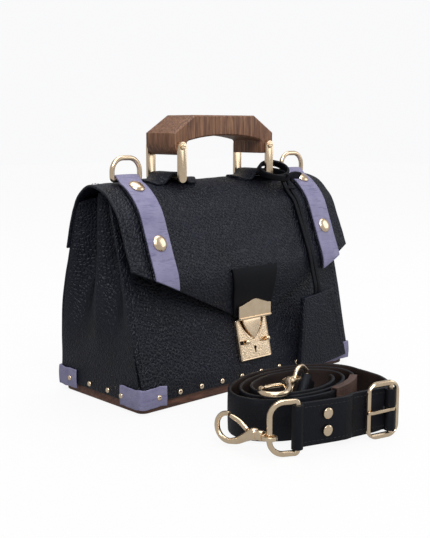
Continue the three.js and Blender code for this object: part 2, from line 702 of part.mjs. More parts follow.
// The long strap: a straight tail behind the short strap, a sweep to the right, then the coil.
function longStrap() {
  const lead = spline([
    [-62, -190.4], [-40, -194.8], [-18, -197.6], [0, -192], [11, -176], [14.5, -160],
  ], 18);
  const line = [...lead, ...coilPart(0, COIL.turns)];
  return acrossZ(sheet(line, STRAP.thickness), COIL.low, COIL.low + STRAP.width);
}

// A leather keeper round the second turn of the coil.
function keeper() {
  const part = coilPart(0.8, 0.93);
  const wall = 1.2;
  const outer = sheet(offset(part, -GAP - wall), STRAP.thickness + 2 * (GAP + wall));
  const inner = sheet(offset(coilPart(0.76, 0.97), -GAP), STRAP.thickness + 2 * GAP);
  const top = COIL.low + STRAP.width + GAP;
  return cut(acrossZ(outer, 0, top + wall), acrossZ(inner, wall, top));
}

// A sewn fold round an upright bar at x.
function fold(x, low, high) {
  const ring = new THREE.Shape();
  ring.absarc(x, 0, 4, 0, 2 * Math.PI);
  const hole = new THREE.Path();
  hole.absarc(x, 0, 2.2, 0, 2 * Math.PI);
  ring.holes.push(hole);
  return acrossZ(ring, low, high);
}

// The short strap between the end frame and the buckle's bar, with a sewn fold at each end.
const SHORT_SPAN = new THREE.Vector2(BUCKLE.x - SHORT_START.x, BUCKLE.y - SHORT_START.y);
function shortStrap() {
  const { lift, width, thickness } = STRAP;
  const length = SHORT_SPAN.length();
  const bend = spline([
    [1.2, 3.7], [12, 3], [40, 1], [length - 30, 4.9], [length - 6, 4.9], [length - 1.2, 3.8],
  ], 18);
  const band = acrossZ(sheet(bend.reverse(), thickness), lift, lift + width);
  const body = join(band, fold(0, lift, lift + width), fold(length, lift, lift + width));
  const holes = [26, 14].map((z) => rod(1.6, 20, 'y', 24, 0, z, 12));
  const bores = [rod(2.2, 40, 'z', 0, 0, 20), rod(2.2, 40, 'z', length, 0, 20)];
  const prongSlot = box(10.4, 14, 3, length + 0.9, 0, BUCKLE.z);
  return cut(body, ...holes, ...bores, prongSlot);
}

function strapRivet() {
  const profile = [
    [0, -1.2], [3, -1.2], [3, 0], [1.2, 0], [1.2, 3.9], [4, 3.9], [3.8, 4.7], [2.4, 5.3], [0, 5.5],
  ];
  const points = profile.map(([r, z]) => new THREE.Vector2(r, z));
  return new THREE.LatheGeometry(points, 14).rotateX(Math.PI);
}

// The chape on the coil's inner end: a short tongue folded round the second end frame's bar.
function chape() {
  const half = STRAP.width / 2;
  const tail = box(12, 2.4, STRAP.width, -9.4, 0, 0);
  return cut(join(fold(0, -half, half), tail), rod(2.2, 40, 'z', 0, 0, 0));
}

// The horseshoe end frame: an upright bar through the strap's fold and a rounded end.
function endFrame() {
  const { height, wire, length } = FRAME;
  const half = height / 2;
  const outline = (grow, start, Path) => {
    const r = 10.5 + grow;
    const shape = new Path();
    shape.moveTo(start, -half - grow);
    shape.lineTo(length + grow - r, -half - grow);
    shape.absarc(length + grow - r, -half - grow + r, r, -Math.PI / 2, 0);
    shape.absarc(length + grow - r, half + grow - r, r, 0, Math.PI / 2);
    shape.lineTo(start, half + grow);
    return shape;
  };
  const shape = outline(0, -1.7, THREE.Shape);
  shape.holes.push(outline(-wire, 1.7, THREE.Path));
  return acrossY(shape, 3.4, 0, 0.7);
}

// The hook's eye: a thin oval ring round the end frame, with a cup that holds the swivel's head.
function hookEye() {
  const oval = (x, y, Path) => {
    const shape = new Path();
    shape.absellipse(0, 0, x, y, 0, 2 * Math.PI, false, 0);
    return shape;
  };
  const ring = oval(5.6, 4.9, THREE.Shape);
  ring.holes.push(oval(3.7, 3, THREE.Path));
  const eye = acrossZ(ring, -1.3, 1.3);
  const cup = rod(3.6, 5, 'x', 7.3, 0, 0, 14);
  const room = rod(2.6, 2, 'x', 7.1, 0, 0, 14);
  const mouth = rod(1.7, 6, 'x', 10.1, 0, 0, 14);
  return cut(join(eye, cup), room, mouth);
}

// A trigger hook: swivel stem, neck and a round hook with a gap for its gate, drawn as (x, z).
function hookBody() {
  const ring = new THREE.Shape();
  ring.absarc(34.5, 0, 11.2, 0, 2 * Math.PI);
  const hole = new THREE.Path();
  hole.absarc(34.5, 0, 8, 0, 2 * Math.PI);
  ring.holes.push(hole);
  const neck = new THREE.Shape();
  neck.moveTo(10.2, -3.6);
  neck.lineTo(13, -4.6);
  neck.quadraticCurveTo(19, -7, 26, -9.6);
  neck.lineTo(28, -6.2);
  neck.quadraticCurveTo(22.5, -3, 19.6, 0.6);
  neck.lineTo(15, 4);
  neck.lineTo(10.2, 3.6);
  const stem = rod(1.4, 5, 'x', 8.9, 0, 0, 12);
  const head = rod(2.3, 1, 'x', 7, 0, 0, 12);
  const opening = box(14, 8, 20, 25.9, 0, 7);
  const hook = cut(acrossY(ring, 4.2, 0, 0.8), opening);
  return join(hook, acrossY(neck, 4.2, 0, 0.6), stem, head);
}

// The sprung gate that closes the hook's upper side, hinged at the neck.
function hookGate() {
  const shape = new THREE.Shape();
  shape.moveTo(20.3, 2);
  shape.lineTo(22.6, 1.9);
  shape.quadraticCurveTo(26, 5.4, 31.4, 6.6);
  shape.lineTo(31.1, 9.6);
  shape.quadraticCurveTo(23.5, 8.8, 20.3, 5);
  return acrossY(shape, 3.4, 0, 0.5);
}

function buckleFrame() {
  const { width, height, rail, wire } = BUCKLE;
  const frame = roundedRectangle(width, height, 9);
  const window = roundedRectangle(width - 2 * rail, height - 7.6, 2.4);
  frame.holes.push(new THREE.Path(window.getPoints(4)));
  const ring = acrossY(frame, wire, 0, 0.8).translate(BUCKLE.centre, 0, 0);
  return join(ring, rod(1.8, height - 4, 'z', 0, 0, 0, 14));
}

// The prong, wrapped round the buckle's bar, its point resting on the far side of the frame.
function buckleProng() {
  const eye = rod(3.6, 2.2, 'z', 0, 0, 0, 14);
  const outline = polygon([[-2, -3.4], [-2, -2.1], [-19, -2.1], [-22, -2.1], [-22, -3.6], [-18, -4.3]]);
  const arm = acrossZ(outline, -1.1, 1.1);
  return cut(join(eye, arm), rod(2.1, 6, 'z', 0, 0, 0, 14));
}

// Hooks stand on the frames at (x, z) and turn, drop and roll from the frame's own direction.
const ENDS = [
  {
    word: '1', x: SHORT_START.x, y: SHORT_START.y, z: 20, angle: 2.63, pitch: 0,
    eye: -5.8, turn: -0.92, drop: 0, roll: 0,
  },
  {
    word: '2', x: -42, y: -143.4, z: 21.5, angle: 3.45, pitch: 0.62,
    eye: 4.3, turn: 0, drop: -0.62, roll: Math.PI / 2,
  },
];

function addEnd({ word, x, y, z, angle, pitch, eye, turn, drop, roll }) {
  const frame = strapFrame(x, y, z, angle, pitch);
  add(`end_frame_${word}`, endFrame(), brass(), frame);
  const parts = [
    [`hook_eye_${word}`, hookEye(), 0],
    [`hook_${word}`, hookBody(), roll],
    [`hook_gate_${word}`, hookGate(), roll],
  ];
  for (const [name, geometry, about] of parts) {
    const mesh = add(name, geometry, brass(), frame);
    mesh.position.set(FRAME.length - FRAME.wire / 2, 0, eye);
    mesh.rotation.order = 'ZYX';
    mesh.rotation.set(about, -drop, turn);
  }
  return frame;
}

function addStrap() {
  add('strap_long', longStrap(), leather());
  add('strap_keeper', keeper(), brown());
  const strap = strapFrame(SHORT_START.x, SHORT_START.y, 0, SHORT_SPAN.angle());
  add('strap_short', shortStrap(), leather(), strap);
  for (const [word, z] of [['upper', 26], ['lower', 14]]) {
    add(`strap_rivet_${word}`, strapRivet(), brass(), strap).position.set(24, 2.6, z);
  }
  addEnd(ENDS[0]);
  add('strap_chape', chape(), leather(), addEnd(ENDS[1]));
  const buckle = strapFrame(BUCKLE.x, BUCKLE.y, BUCKLE.z, SHORT_SPAN.angle());
  add('buckle_frame', buckleFrame(), brass(), buckle);
  add('buckle_prong', buckleProng(), brass(), buckle);
}

addShell();
addLock();
addFlap();
addStrap();

export default root;
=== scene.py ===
"""Looks of the satchel: leather skins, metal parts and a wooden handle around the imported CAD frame."""
import json
import math

import bmesh
import bpy
import numpy as np
from mathutils import Matrix, Vector


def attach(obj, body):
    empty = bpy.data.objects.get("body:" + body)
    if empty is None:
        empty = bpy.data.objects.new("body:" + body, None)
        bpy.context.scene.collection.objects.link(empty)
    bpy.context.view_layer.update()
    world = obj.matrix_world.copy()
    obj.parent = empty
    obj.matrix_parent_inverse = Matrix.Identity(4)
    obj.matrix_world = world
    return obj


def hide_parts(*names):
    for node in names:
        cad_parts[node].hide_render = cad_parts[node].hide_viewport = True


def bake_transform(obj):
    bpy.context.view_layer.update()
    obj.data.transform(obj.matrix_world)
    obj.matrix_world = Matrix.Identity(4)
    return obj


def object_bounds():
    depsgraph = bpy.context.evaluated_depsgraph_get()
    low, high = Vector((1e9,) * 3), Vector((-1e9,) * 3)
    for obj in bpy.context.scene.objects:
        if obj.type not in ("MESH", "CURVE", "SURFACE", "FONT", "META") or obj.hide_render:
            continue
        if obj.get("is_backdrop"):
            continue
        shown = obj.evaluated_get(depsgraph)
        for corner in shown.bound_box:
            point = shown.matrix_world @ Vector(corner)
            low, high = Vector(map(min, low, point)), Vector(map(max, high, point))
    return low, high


MM = 0.001


def plain(value):
    """Bounds as plain nested lists of numbers."""
    if isinstance(value, (list, tuple, Vector)):
        return [plain(v) for v in value]
    return float(value)


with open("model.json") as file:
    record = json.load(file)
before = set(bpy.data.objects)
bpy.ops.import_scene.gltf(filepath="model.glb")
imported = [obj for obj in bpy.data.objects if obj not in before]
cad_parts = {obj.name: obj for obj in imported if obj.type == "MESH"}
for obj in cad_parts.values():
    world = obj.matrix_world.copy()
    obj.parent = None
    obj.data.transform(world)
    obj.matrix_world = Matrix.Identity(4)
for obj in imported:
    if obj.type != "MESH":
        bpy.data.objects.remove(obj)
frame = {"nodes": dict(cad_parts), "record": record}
start_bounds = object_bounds()
NODES = frame["nodes"]
BODY_OF = {n: b for b, ns in frame["record"]["behaviour"]["bodies"].items() for n in ns}


# ---- materials ----
def new_material(name):
    """A node material with its tree and its main shader."""
    material = bpy.data.materials.new(name)
    material.use_nodes = True
    tree = material.node_tree
    shader = tree.nodes["Principled BSDF"]
    return material, tree, shader


def coordinates(tree, scale=(1, 1, 1)):
    source = tree.nodes.new("ShaderNodeTexCoord")
    mapping = tree.nodes.new("ShaderNodeMapping")
    mapping.inputs["Scale"].default_value = scale
    tree.links.new(source.outputs["Object"], mapping.inputs["Vector"])
    return mapping.outputs["Vector"]


def noise(tree, vector, scale, detail=4, roughness=0.55, distortion=0.0):
    node = tree.nodes.new("ShaderNodeTexNoise")
    node.inputs["Scale"].default_value = scale
    node.inputs["Detail"].default_value = detail
    node.inputs["Roughness"].default_value = roughness
    node.inputs["Distortion"].default_value = distortion
    tree.links.new(vector, node.inputs["Vector"])
    return node.outputs["Fac"]


def cells(tree, vector, scale):
    node = tree.nodes.new("ShaderNodeTexVoronoi")
    node.feature = "DISTANCE_TO_EDGE"
    node.inputs["Scale"].default_value = scale
    tree.links.new(vector, node.inputs["Vector"])
    return node.outputs["Distance"]


def ramp(tree, value, stops):
    node = tree.nodes.new("ShaderNodeValToRGB")
    elements = node.color_ramp.elements
    while len(elements) < len(stops):
        elements.new(0.5)
    for element, (place, color) in zip(elements, stops):
        element.position = place
        element.color = (*color, 1)
    tree.links.new(value, node.inputs["Fac"])
    return node.outputs["Color"]


def spread(tree, value, low, high):
    node = tree.nodes.new("ShaderNodeMapRange")
    node.inputs["To Min"].default_value = low
    node.inputs["To Max"].default_value = high
    tree.links.new(value, node.inputs["Value"])
    return node.outputs["Result"]


def bump(tree, shader, height, strength, distance, under=None):
    node = tree.nodes.new("ShaderNodeBump")
    node.inputs["Strength"].default_value = strength
    node.inputs["Distance"].default_value = distance
    tree.links.new(height, node.inputs["Height"])
    if under is not None:
        tree.links.new(under, node.inputs["Normal"])
    tree.links.new(node.outputs["Normal"], shader.inputs["Normal"])
    return node.outputs["Normal"]


def leather_material(name, dark, light, rough, grain=360, depth=0.0008, strength=0.7, sheen=0.34):
    """Dyed hide: rounded pebbles of the given grain over wide soft creases."""
    material, tree, shader = new_material(name)
    vector = coordinates(tree)
    pebbles = cells(tree, vector, grain)
    wide = noise(tree, vector, 28, 3)
    color = ramp(tree, wide, [(0.3, dark), (0.72, light)])
    tree.links.new(color, shader.inputs["Base Color"])
    tree.links.new(spread(tree, wide, rough - 0.07, rough + 0.1), shader.inputs["Roughness"])
    creases = bump(tree, shader, noise(tree, vector, 70, 4, 0.5, 0.2), 0.16, 0.0009)
    rounded = ramp(tree, pebbles, [(0.0, (0, 0, 0)), (0.12, (0.55, 0.55, 0.55)), (0.38, (1, 1, 1))])
    bump(tree, shader, rounded, strength, depth, creases)
    shader.inputs["Specular IOR Level"].default_value = sheen
    shader.inputs["Specular Tint"].default_value = (0.82, 0.88, 1.0, 1)
    return material


def crackle_material():
    """Pale lavender hide with long fine cracks in its finish."""
    material, tree, shader = new_material("lavender_leather")
    vector = coordinates(tree, (0.22, 1, 2.1))
    cracks = noise(tree, vector, 240, 6, 0.7, 0.8)
    fine = cells(tree, coordinates(tree), 620)
    tone = noise(tree, coordinates(tree), 90, 5)
    color = ramp(tree, tone, [(0.28, (0.174, 0.165, 0.288)), (0.75, (0.252, 0.24, 0.372))])
    lines = ramp(tree, cracks, [(0.36, (0.6, 0.6, 0.66)), (0.46, (1, 1, 1))])
    mix = tree.nodes.new("ShaderNodeMix")
    mix.data_type = "RGBA"
    mix.blend_type = "MULTIPLY"
    mix.inputs["Factor"].default_value = 0.8
    tree.links.new(color, mix.inputs["A"])
    tree.links.new(lines, mix.inputs["B"])
    tree.links.new(mix.outputs["Result"], shader.inputs["Base Color"])
    tree.links.new(spread(tree, tone, 0.38, 0.58), shader.inputs["Roughness"])
    under = bump(tree, shader, cracks, 0.5, 0.0006)
    bump(tree, shader, fine, 0.3, 0.0002, under)
    return material


def wood_material(name, tones, stretch, rough=0.5):
    """Oiled wood: dark, middle and light tones in a grain stretched along the part."""
    material, tree, shader = new_material(name)
    vector = coordinates(tree, stretch)
    grain = noise(tree, vector, 60, 8, 0.62, 1.1)
    pores = noise(tree, vector, 260, 4, 0.7)
    color = ramp(tree, grain, [(0.33, tones[0]), (0.5, tones[1]), (0.66, tones[2])])
    tree.links.new(color, shader.inputs["Base Color"])
    tree.links.new(spread(tree, pores, rough - 0.08, rough + 0.14), shader.inputs["Roughness"])
    under = bump(tree, shader, grain, 0.18, 0.0004)
    bump(tree, shader, pores, 0.32, 0.00022, under)
    return material


def brass_material(name="pale_brass", engraved=False):
    """Pale gold metal with slight wear, and a raised ornament if engraved."""
    material, tree, shader = new_material(name)
    vector = coordinates(tree)
    wear = noise(tree, vector, 160, 5)
    color = ramp(tree, wear, [(0.25, (0.86, 0.66, 0.45)), (0.8, (0.98, 0.80, 0.58))])
    tree.links.new(color, shader.inputs["Base Color"])
    shader.inputs["Metallic"].default_value = 1.0
    tree.links.new(spread(tree, wear, 0.16, 0.3), shader.inputs["Roughness"])
    under = bump(tree, shader, noise(tree, vector, 600, 2), 0.06, 0.0001)
    if engraved:
        bump(tree, shader, noise(tree, vector, 330, 3, 0.5, 2.6), 0.5, 0.0005, under)
    return material


def dull_material(name, color, rough):
    """A matt fibre such as thread."""
    material, tree, shader = new_material(name)
    tone = noise(tree, coordinates(tree), 900, 2)
    low = tuple(c * 0.75 for c in color)
    tree.links.new(ramp(tree, tone, [(0.3, low), (0.7, color)]), shader.inputs["Base Color"])
    shader.inputs["Roughness"].default_value = rough
    bump(tree, shader, tone, 0.2, 0.0002)
    return material


BLACK = leather_material(
    "black_pebbled_leather", (0.0022, 0.0023, 0.0042), (0.006, 0.0068, 0.0135), 0.41)
STRAP_LEATHER = leather_material(
    "strap_leather", (0.0028, 0.0028, 0.0038), (0.0055, 0.0058, 0.0085), 0.46,
    grain=620, depth=0.0003, strength=0.5, sheen=0.24)
LINING = leather_material(
    "strap_lining", (0.012, 0.0075, 0.006), (0.03, 0.018, 0.014), 0.6,
    grain=620, depth=0.0003, strength=0.5, sheen=0.2)
SMOOTH = leather_material(
    "black_smooth_leather", (0.0022, 0.0022, 0.003), (0.004, 0.004, 0.0058), 0.5,
    grain=900, depth=0.0002, strength=0.4, sheen=0.16)
BROWN = leather_material(
    "brown_leather", (0.05, 0.026, 0.019), (0.11, 0.062, 0.045), 0.5,
    grain=520, depth=0.0004, strength=0.6)
LAVENDER = crackle_material()
HANDLE_WOOD = wood_material(
    "handle_walnut", ((0.055, 0.021, 0.011), (0.165, 0.073, 0.037), (0.29, 0.148, 0.08)), (9, 9, 0.55))
BASE_WOOD = wood_material(
    "base_walnut", ((0.035, 0.013, 0.008), (0.10, 0.038, 0.022), (0.17, 0.075, 0.045)), (0.6, 5, 5))
BRASS = brass_material()
ENGRAVED = brass_material("engraved_brass", True)
THREAD = dull_material("black_thread", (0.02, 0.02, 0.024), 0.7)


# ---- mesh helpers: numbers are millimetres ----
JOIN_METRES = 2e-6


def make(name, verts, faces, material, angle, second=None, second_faces=()):
    """A closed mesh from points in millimetres, its second material on the faces listed."""
    mesh = bpy.data.meshes.new(name)
    mesh.from_pydata([tuple(c * MM for c in v) for v in verts], [], [tuple(f) for f in faces])
    mesh.update()
    obj = bpy.data.objects.new(name, mesh)
    bpy.context.scene.collection.objects.link(obj)
    mesh.materials.append(material)
    if second is not None:
        mesh.materials.append(second)
        for index in second_faces:
            mesh.polygons[index].material_index = 1
    tidy(obj, angle)
    return obj


def tidy(obj, angle):
    """Join doubled points, turn faces outwards and smooth all but edges sharper than angle."""
    bm = bmesh.new()
    bm.from_mesh(obj.data)
    bmesh.ops.remove_doubles(bm, verts=bm.verts, dist=JOIN_METRES)
    bmesh.ops.recalc_face_normals(bm, faces=bm.faces)
    bm.to_mesh(obj.data)
    bm.free()
    obj.data.shade_smooth()
    obj.data.set_sharp_from_angle(angle=math.radians(angle))


def apply_modifiers(obj):
    """Make the modifiers' result the object's own mesh."""
    bpy.context.view_layer.update()
    evaluated = obj.evaluated_get(bpy.context.evaluated_depsgraph_get())
    mesh = bpy.data.meshes.new_from_object(evaluated)
    obj.modifiers.clear()
    obj.data = mesh


def bevelled(obj, width, segments=2, limit=32, angle=50):
    """Round the edges sharper than limit degrees by width millimetres."""
    modifier = obj.modifiers.new("edges", "BEVEL")
    modifier.width = width * MM
    modifier.segments = segments
    modifier.limit_method = "ANGLE"
    modifier.angle_limit = math.radians(limit)
    modifier.use_clamp_overlap = True
    apply_modifiers(obj)
    obj.data.shade_smooth()
    obj.data.set_sharp_from_angle(angle=math.radians(angle))
    return obj


def place(obj, body, *nodes, slot=None):
    """Let a piece ride a body, standing in for the CAD nodes if any; slot is not used."""
    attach(obj, body)
    if nodes:
        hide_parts(*nodes)
    return obj


def refine(node, material, width, segments=2, limit=32, name=None):
    """A copy of a CAD node that stands in for it, its edges rounded by width, or left flat at 0."""
    obj = bpy.data.objects.new(name or f"look_{node}", NODES[node].data.copy())
    bpy.context.scene.collection.objects.link(obj)
    bm = bmesh.new()
    bm.from_mesh(obj.data)
    bmesh.ops.remove_doubles(bm, verts=bm.verts, dist=3e-6)
    if width > 0:
        bmesh.ops.dissolve_limit(bm, angle_limit=math.radians(1.2), verts=bm.verts, edges=bm.edges)
    bm.to_mesh(obj.data)
    bm.free()
    obj.data.materials.clear()
    obj.data.materials.append(material)
    if width > 0:
        bevelled(obj, width, segments, limit)
    else:
        obj.data.shade_flat()
    return place(obj, BODY_OF[node], node)


def sheet(name, rows, thickness, material, edge, side=1, lining=None):
    """A closed leather sheet: rows is an (n, m, 3) grid of its outer face, thickened inwards.

    side is -1 where the grid's own normal points inwards; lining is the inner face's material.
    """
    grid = np.asarray(rows, float)
    n, m, _ = grid.shape
    du = np.gradient(grid, axis=0)
    dv = np.gradient(grid, axis=1)
    normal = np.cross(du, dv) * side
    normal /= np.maximum(np.linalg.norm(normal, axis=2, keepdims=True), 1e-9)
    inner = grid - normal * thickness
    verts = np.concatenate([grid.reshape(-1, 3), inner.reshape(-1, 3)])
    faces = []
    size = n * m
    for i in range(n - 1):
        for j in range(m - 1):
            a, b, c, d = i * m + j, (i + 1) * m + j, (i + 1) * m + j + 1, i * m + j + 1
            faces.append((a, b, c, d))
            faces.append((d + size, c + size, b + size, a + size))
    for i in range(n - 1):
        for j, flip in ((0, False), (m - 1, True)):
            a, b = i * m + j, (i + 1) * m + j
            faces.append((b, a, a + size, b + size) if flip else (a, b, b + size, a + size))
    for j in range(m - 1):
        for i, flip in ((0, True), (n - 1, False)):
            a, b = i * m + j, i * m + j + 1
            faces.append((b, a, a + size, b + size) if flip else (a, b, b + size, a + size))
    inner_faces = range(1, 2 * (n - 1) * (m - 1), 2)
    obj = make(name, verts, faces, material, 60, lining, inner_faces if lining else ())
    return bevelled(obj, edge, 2, 55, 65)


def sweep(name, path, section, material, closed=False, up=(0, 0, 1), scale=None):
    """A bar along a path: section is its outline as (across, up) pairs, scale its swell at each point."""
    path = np.asarray(path, float)
    n, k = len(path), len(section)
    scale = np.ones(n) if scale is None else np.asarray(scale, float)
    if closed:
        tangent = np.roll(path, -1, 0) - np.roll(path, 1, 0)
    else:
        tangent = np.gradient(path, axis=0)
    tangent /= np.linalg.norm(tangent, axis=1, keepdims=True)
    up = np.asarray(up, float)
    across = np.cross(tangent, up)
    across /= np.linalg.norm(across, axis=1, keepdims=True)
    above = np.cross(across, tangent)
    verts = [path[i] + (across[i] * a + above[i] * b) * scale[i] for i in range(n) for a, b in section]
    faces = []
    for i in range(n if closed else n - 1):
        j = (i + 1) % n
        for q in range(k):
            r = (q + 1) % k
            faces.append((i * k + q, i * k + r, j * k + r, j * k + q))
    if not closed:
        faces.append(tuple(range(k - 1, -1, -1)))
        faces.append(tuple((n - 1) * k + q for q in range(k)))
    return make(name, verts, faces, material, 40)


def ellipse(a, b, count):
    """Points round an ellipse of half width a and half height b."""
    return [(a * math.cos(t), b * math.sin(t)) for t in np.linspace(0, 2 * math.pi, count, endpoint=False)]


def rounded_loop(corners, count):
    """Quarter arcs joined up: a corner is its centre across and up, first angle in degrees and radius."""
    return [
        (across + r * math.cos(t), up + r * math.sin(t))
        for across, up, begin, r in corners
        for t in np.linspace(math.radians(begin), math.radians(begin + 90), count)
    ]


def soft_rectangle(a, b, r, count=4):
    """Points round a rectangle of half width a and half height b, its corners rounded by r."""
    corners = ((a - r, b - r, 0, r), (r - a, b - r, 90, r), (r - a, r - b, 180, r), (a - r, r - b, 270, r))
    return rounded_loop(corners, count)


ON_AXIS = 1e-6


def lathe(profile, count=32):
    """Vertices and faces of a turned solid about Z from (radius, z) pairs that start and end on the axis."""
    verts, faces, rings = [], [], []
    for r, z in profile:
        ring = [(x, y, z) for x, y in ellipse(r, r, count)] if r > ON_AXIS else [(0, 0, z)]
        rings.append(list(range(len(verts), len(verts) + len(ring))))
        verts += ring
    for low, high in zip(rings, rings[1:]):
        for i in range(count):
            j = (i + 1) % count
            quad = [low[i % len(low)], low[j % len(low)], high[j % len(high)], high[i % len(high)]]
            faces.append(list(dict.fromkeys(quad)))
    return verts, faces


def dome(radius, rise, steps=6):
    """(radius, height) pairs from a dome's rim to its top."""
    return [(radius * math.cos(t), rise * math.sin(t)) for t in np.linspace(0, math.pi / 2, steps)]


def turned(name, profile, matrices, material, count=32):
    """One mesh of turned pieces, a copy at each matrix (millimetres)."""
    verts, faces = lathe(profile, count)
    all_verts, all_faces = [], []
    for matrix in matrices:
        base = len(all_verts)
        all_verts += moved(matrix, verts)
        all_faces += [[base + i for i in f] for f in faces]
    return make(name, all_verts, all_faces, material, 45)


def moved(matrix, points):
    """The points carried to a part's place."""
    return [tuple(matrix @ Vector(p)) for p in points]


def smoothstep(x, low, high):
    """A soft step from 0 at low to 1 at high."""
    t = np.clip((np.asarray(x, float) - low) / (high - low), 0, 1)
    return t * t * (3 - 2 * t)


def waves(x, z, seed, sizes=(70, 34, 17), weights=(1, 0.5, 0.25)):
    """Smooth repeatable unevenness of hide, about -1 to 1."""
    r = np.random.default_rng(seed)
    total = 0
    for size, weight in zip(sizes, weights):
        for _ in range(3):
            angle, phase = r.uniform(0, math.pi), r.uniform(0, 2 * math.pi)
            stretch = r.uniform(0.75, 1.3)
            along = (x * math.cos(angle) + z * math.sin(angle)) * 2 * math.pi / (size * stretch)
            total = total + weight * np.sin(along + phase) / 3
    return total


def catmull(points, count):
    """A smooth curve of count steps through the points."""
    points = [np.asarray(p, float) for p in points]
    ext = [2 * points[0] - points[1], *points, 2 * points[-1] - points[-2]]
    out = []
    spans = len(points) - 1
    for s in range(count + 1):
        u = s / count * spans
        i = min(int(u), spans - 1)
        t = u - i
        a, b, c, d = ext[i:i + 4]
        square = (2 * a - 5 * b + 4 * c - d) * t * t
        cube = (3 * b - a - 3 * c + d) * t ** 3
        out.append(0.5 * (2 * b + (c - a) * t + square + cube))
    return np.array(out)


# ---- sizes and side profiles, as in the CAD ----
LEAN = 0.2355
BOARD_TOP = 20
PANEL_FOOT, PANEL_TOP, PANEL_HALF = 8, 158, 120
GUSSET_TOP, GUSSET_FOLD, GUSSET_INSET = 156, 15, 2.4
HIDE, THIN_HIDE, HIDE_EDGE = 1.9, 1.6, 0.5
SKIN_FRONT, SKIN_BACK, SKIN_SIDE = -53.8, 53.8, 121.3
FLAP_HALF = 123.6
POINT_HALF, POINT_HEIGHT, HEM_END_HEIGHT = 20, 63, 109.7
FRONT_ONLY = -8
HINGE_Y, HINGE_Z = 29, 150
INSIDE = (0, 100)
TRIM_X, TRIM_HALF_WIDTH, TRIM_LIFT, TRIM_TOP, TRIM_BELLY = 95, 11, 3.8, 173.2, 0.25
RING_Y, RING_Z = -5.0, 174.9
RIVET_HEIGHTS = {"upper": 166.8, "lower": 127.0}
REAR_LINE = [(38.5, 120), (34.4, 135), (HINGE_Y, HINGE_Z)]
TOP_LINE = [(28.78, 150.5), (22, 162), (11, 170.3), (0, 172.4), (-13, 168.6), (-23.7, 161), (-32.6, 150),
            (-38.8, 135), (-45.3, 118), (-51.5, 102), (-52.4, 90), (-50, 76), (-48.2, 60)]
FLAP_CURVE = catmull(TOP_LINE, 160)
WHOLE_CURVE = np.vstack([catmull(REAR_LINE, 24), FLAP_CURVE[2:]])
REAR_CURVE = catmull([(SKIN_BACK, PANEL_FOOT), (SKIN_BACK, BOARD_TOP), (53.2, 26), (50.6, 55), (46.2, 85),
                      (36, 120), (31.8, 135), (26.3, 150), (22.2, 157)], 90)


def front_y(z):
    """The front panel's outer face at the height z."""
    return SKIN_FRONT + np.maximum(0, np.asarray(z, float) - BOARD_TOP) * LEAN


def rear_y(z):
    """The rear panel's outer face at the height z."""
    return np.interp(z, REAR_CURVE[:, 1], REAR_CURVE[:, 0])


def hem(x):
    """Height of the flap's pointed lower edge."""
    slope = (HEM_END_HEIGHT - POINT_HEIGHT) / (FLAP_HALF - POINT_HALF)
    return POINT_HEIGHT + slope * np.maximum(0, np.abs(x) - POINT_HALF)


def curve_normals(curve):
    """Unit normals of a (y, z) curve."""
    tangent = np.gradient(curve, axis=0)
    tangent /= np.linalg.norm(tangent, axis=1, keepdims=True)
    return np.stack([tangent[:, 1], -tangent[:, 0]], 1)


def resample(curve, count):
    """The same curve with count points at equal spaces."""
    steps = np.r_[0, np.cumsum(np.linalg.norm(np.diff(curve, axis=0), axis=1))]
    places = np.linspace(0, steps[-1], count)
    return np.stack([np.interp(places, steps, curve[:, k]) for k in range(curve.shape[1])], 1)


def cut_curve(curve, z_end):
    """The curve from its start down to the height z_end on the front."""
    for i in range(len(curve) - 1, 0, -1):
        a, b = curve[i - 1], curve[i]
        if a[1] >= z_end >= b[1] and a[0] < 0:
            t = (a[1] - z_end) / max(a[1] - b[1], 1e-9)
            return np.vstack([curve[:i], a + (b - a) * t])
    return curve


def lifted(curve, lift):
    """The curve moved outwards, away from a point inside the bag, by lift."""
    normals = curve_normals(curve)
    away = curve - np.array(INSIDE)
    outward = np.where(np.sum(normals * away, axis=1, keepdims=True) < 0, -1, 1)
    return curve + normals * outward * lift


def on_front(lift, high):
    """The flap's curve raised by lift, only the part on the bag's front below the height high."""
    base = lifted(FLAP_CURVE, lift)
    return base[(FLAP_CURVE[:, 0] < FRONT_ONLY) & (base[:, 1] <= high)]


def across_line(xs, line, out, push):
    """A row of points at the places xs across, on a line of (y, z) pushed along its outward steps."""
    return np.stack([xs, line[:, 0] + out[:, 0] * push, line[:, 1] + out[:, 1] * push], 1)


# ---- shell ----
def build_front():
    """The front panel, slightly puffed and uneven, pressed in behind the lock."""
    xs = np.linspace(-1, 1, 97)
    zs = np.r_[np.linspace(PANEL_FOOT, 24, 9), np.linspace(27, PANEL_TOP, 70)]
    rows = np.zeros((len(zs), len(xs), 3))
    for i, z in enumerate(zs):
        x = xs * (PANEL_HALF + 2.2 * smoothstep(z, BOARD_TOP, 70))
        rise = np.clip((z - BOARD_TOP) / (GUSSET_TOP - BOARD_TOP), 0, 1)
        puff = 1.6 * np.cos(xs * math.pi / 2) ** 0.6 * math.sin(math.pi * rise)
        uneven = 0.55 * waves(x, z, 3) * smoothstep(z, BOARD_TOP, 45)
        edge = 0.7 * smoothstep(np.abs(xs), 0.93, 1.0) * smoothstep(z, 22, 60)
        press = smoothstep(22 - np.abs(x), 0, 12) * smoothstep(z, 18, 30) * (1 - smoothstep(z, 56, 70))
        y = front_y(z) - puff * 0.35 - uneven * 0.5 + edge + press * 0.25
        rows[i] = np.stack([x, y, np.full_like(x, z)], 1)
    place(sheet("front_skin", rows, HIDE, BLACK, HIDE_EDGE, side=-1), "shell", "front_panel")


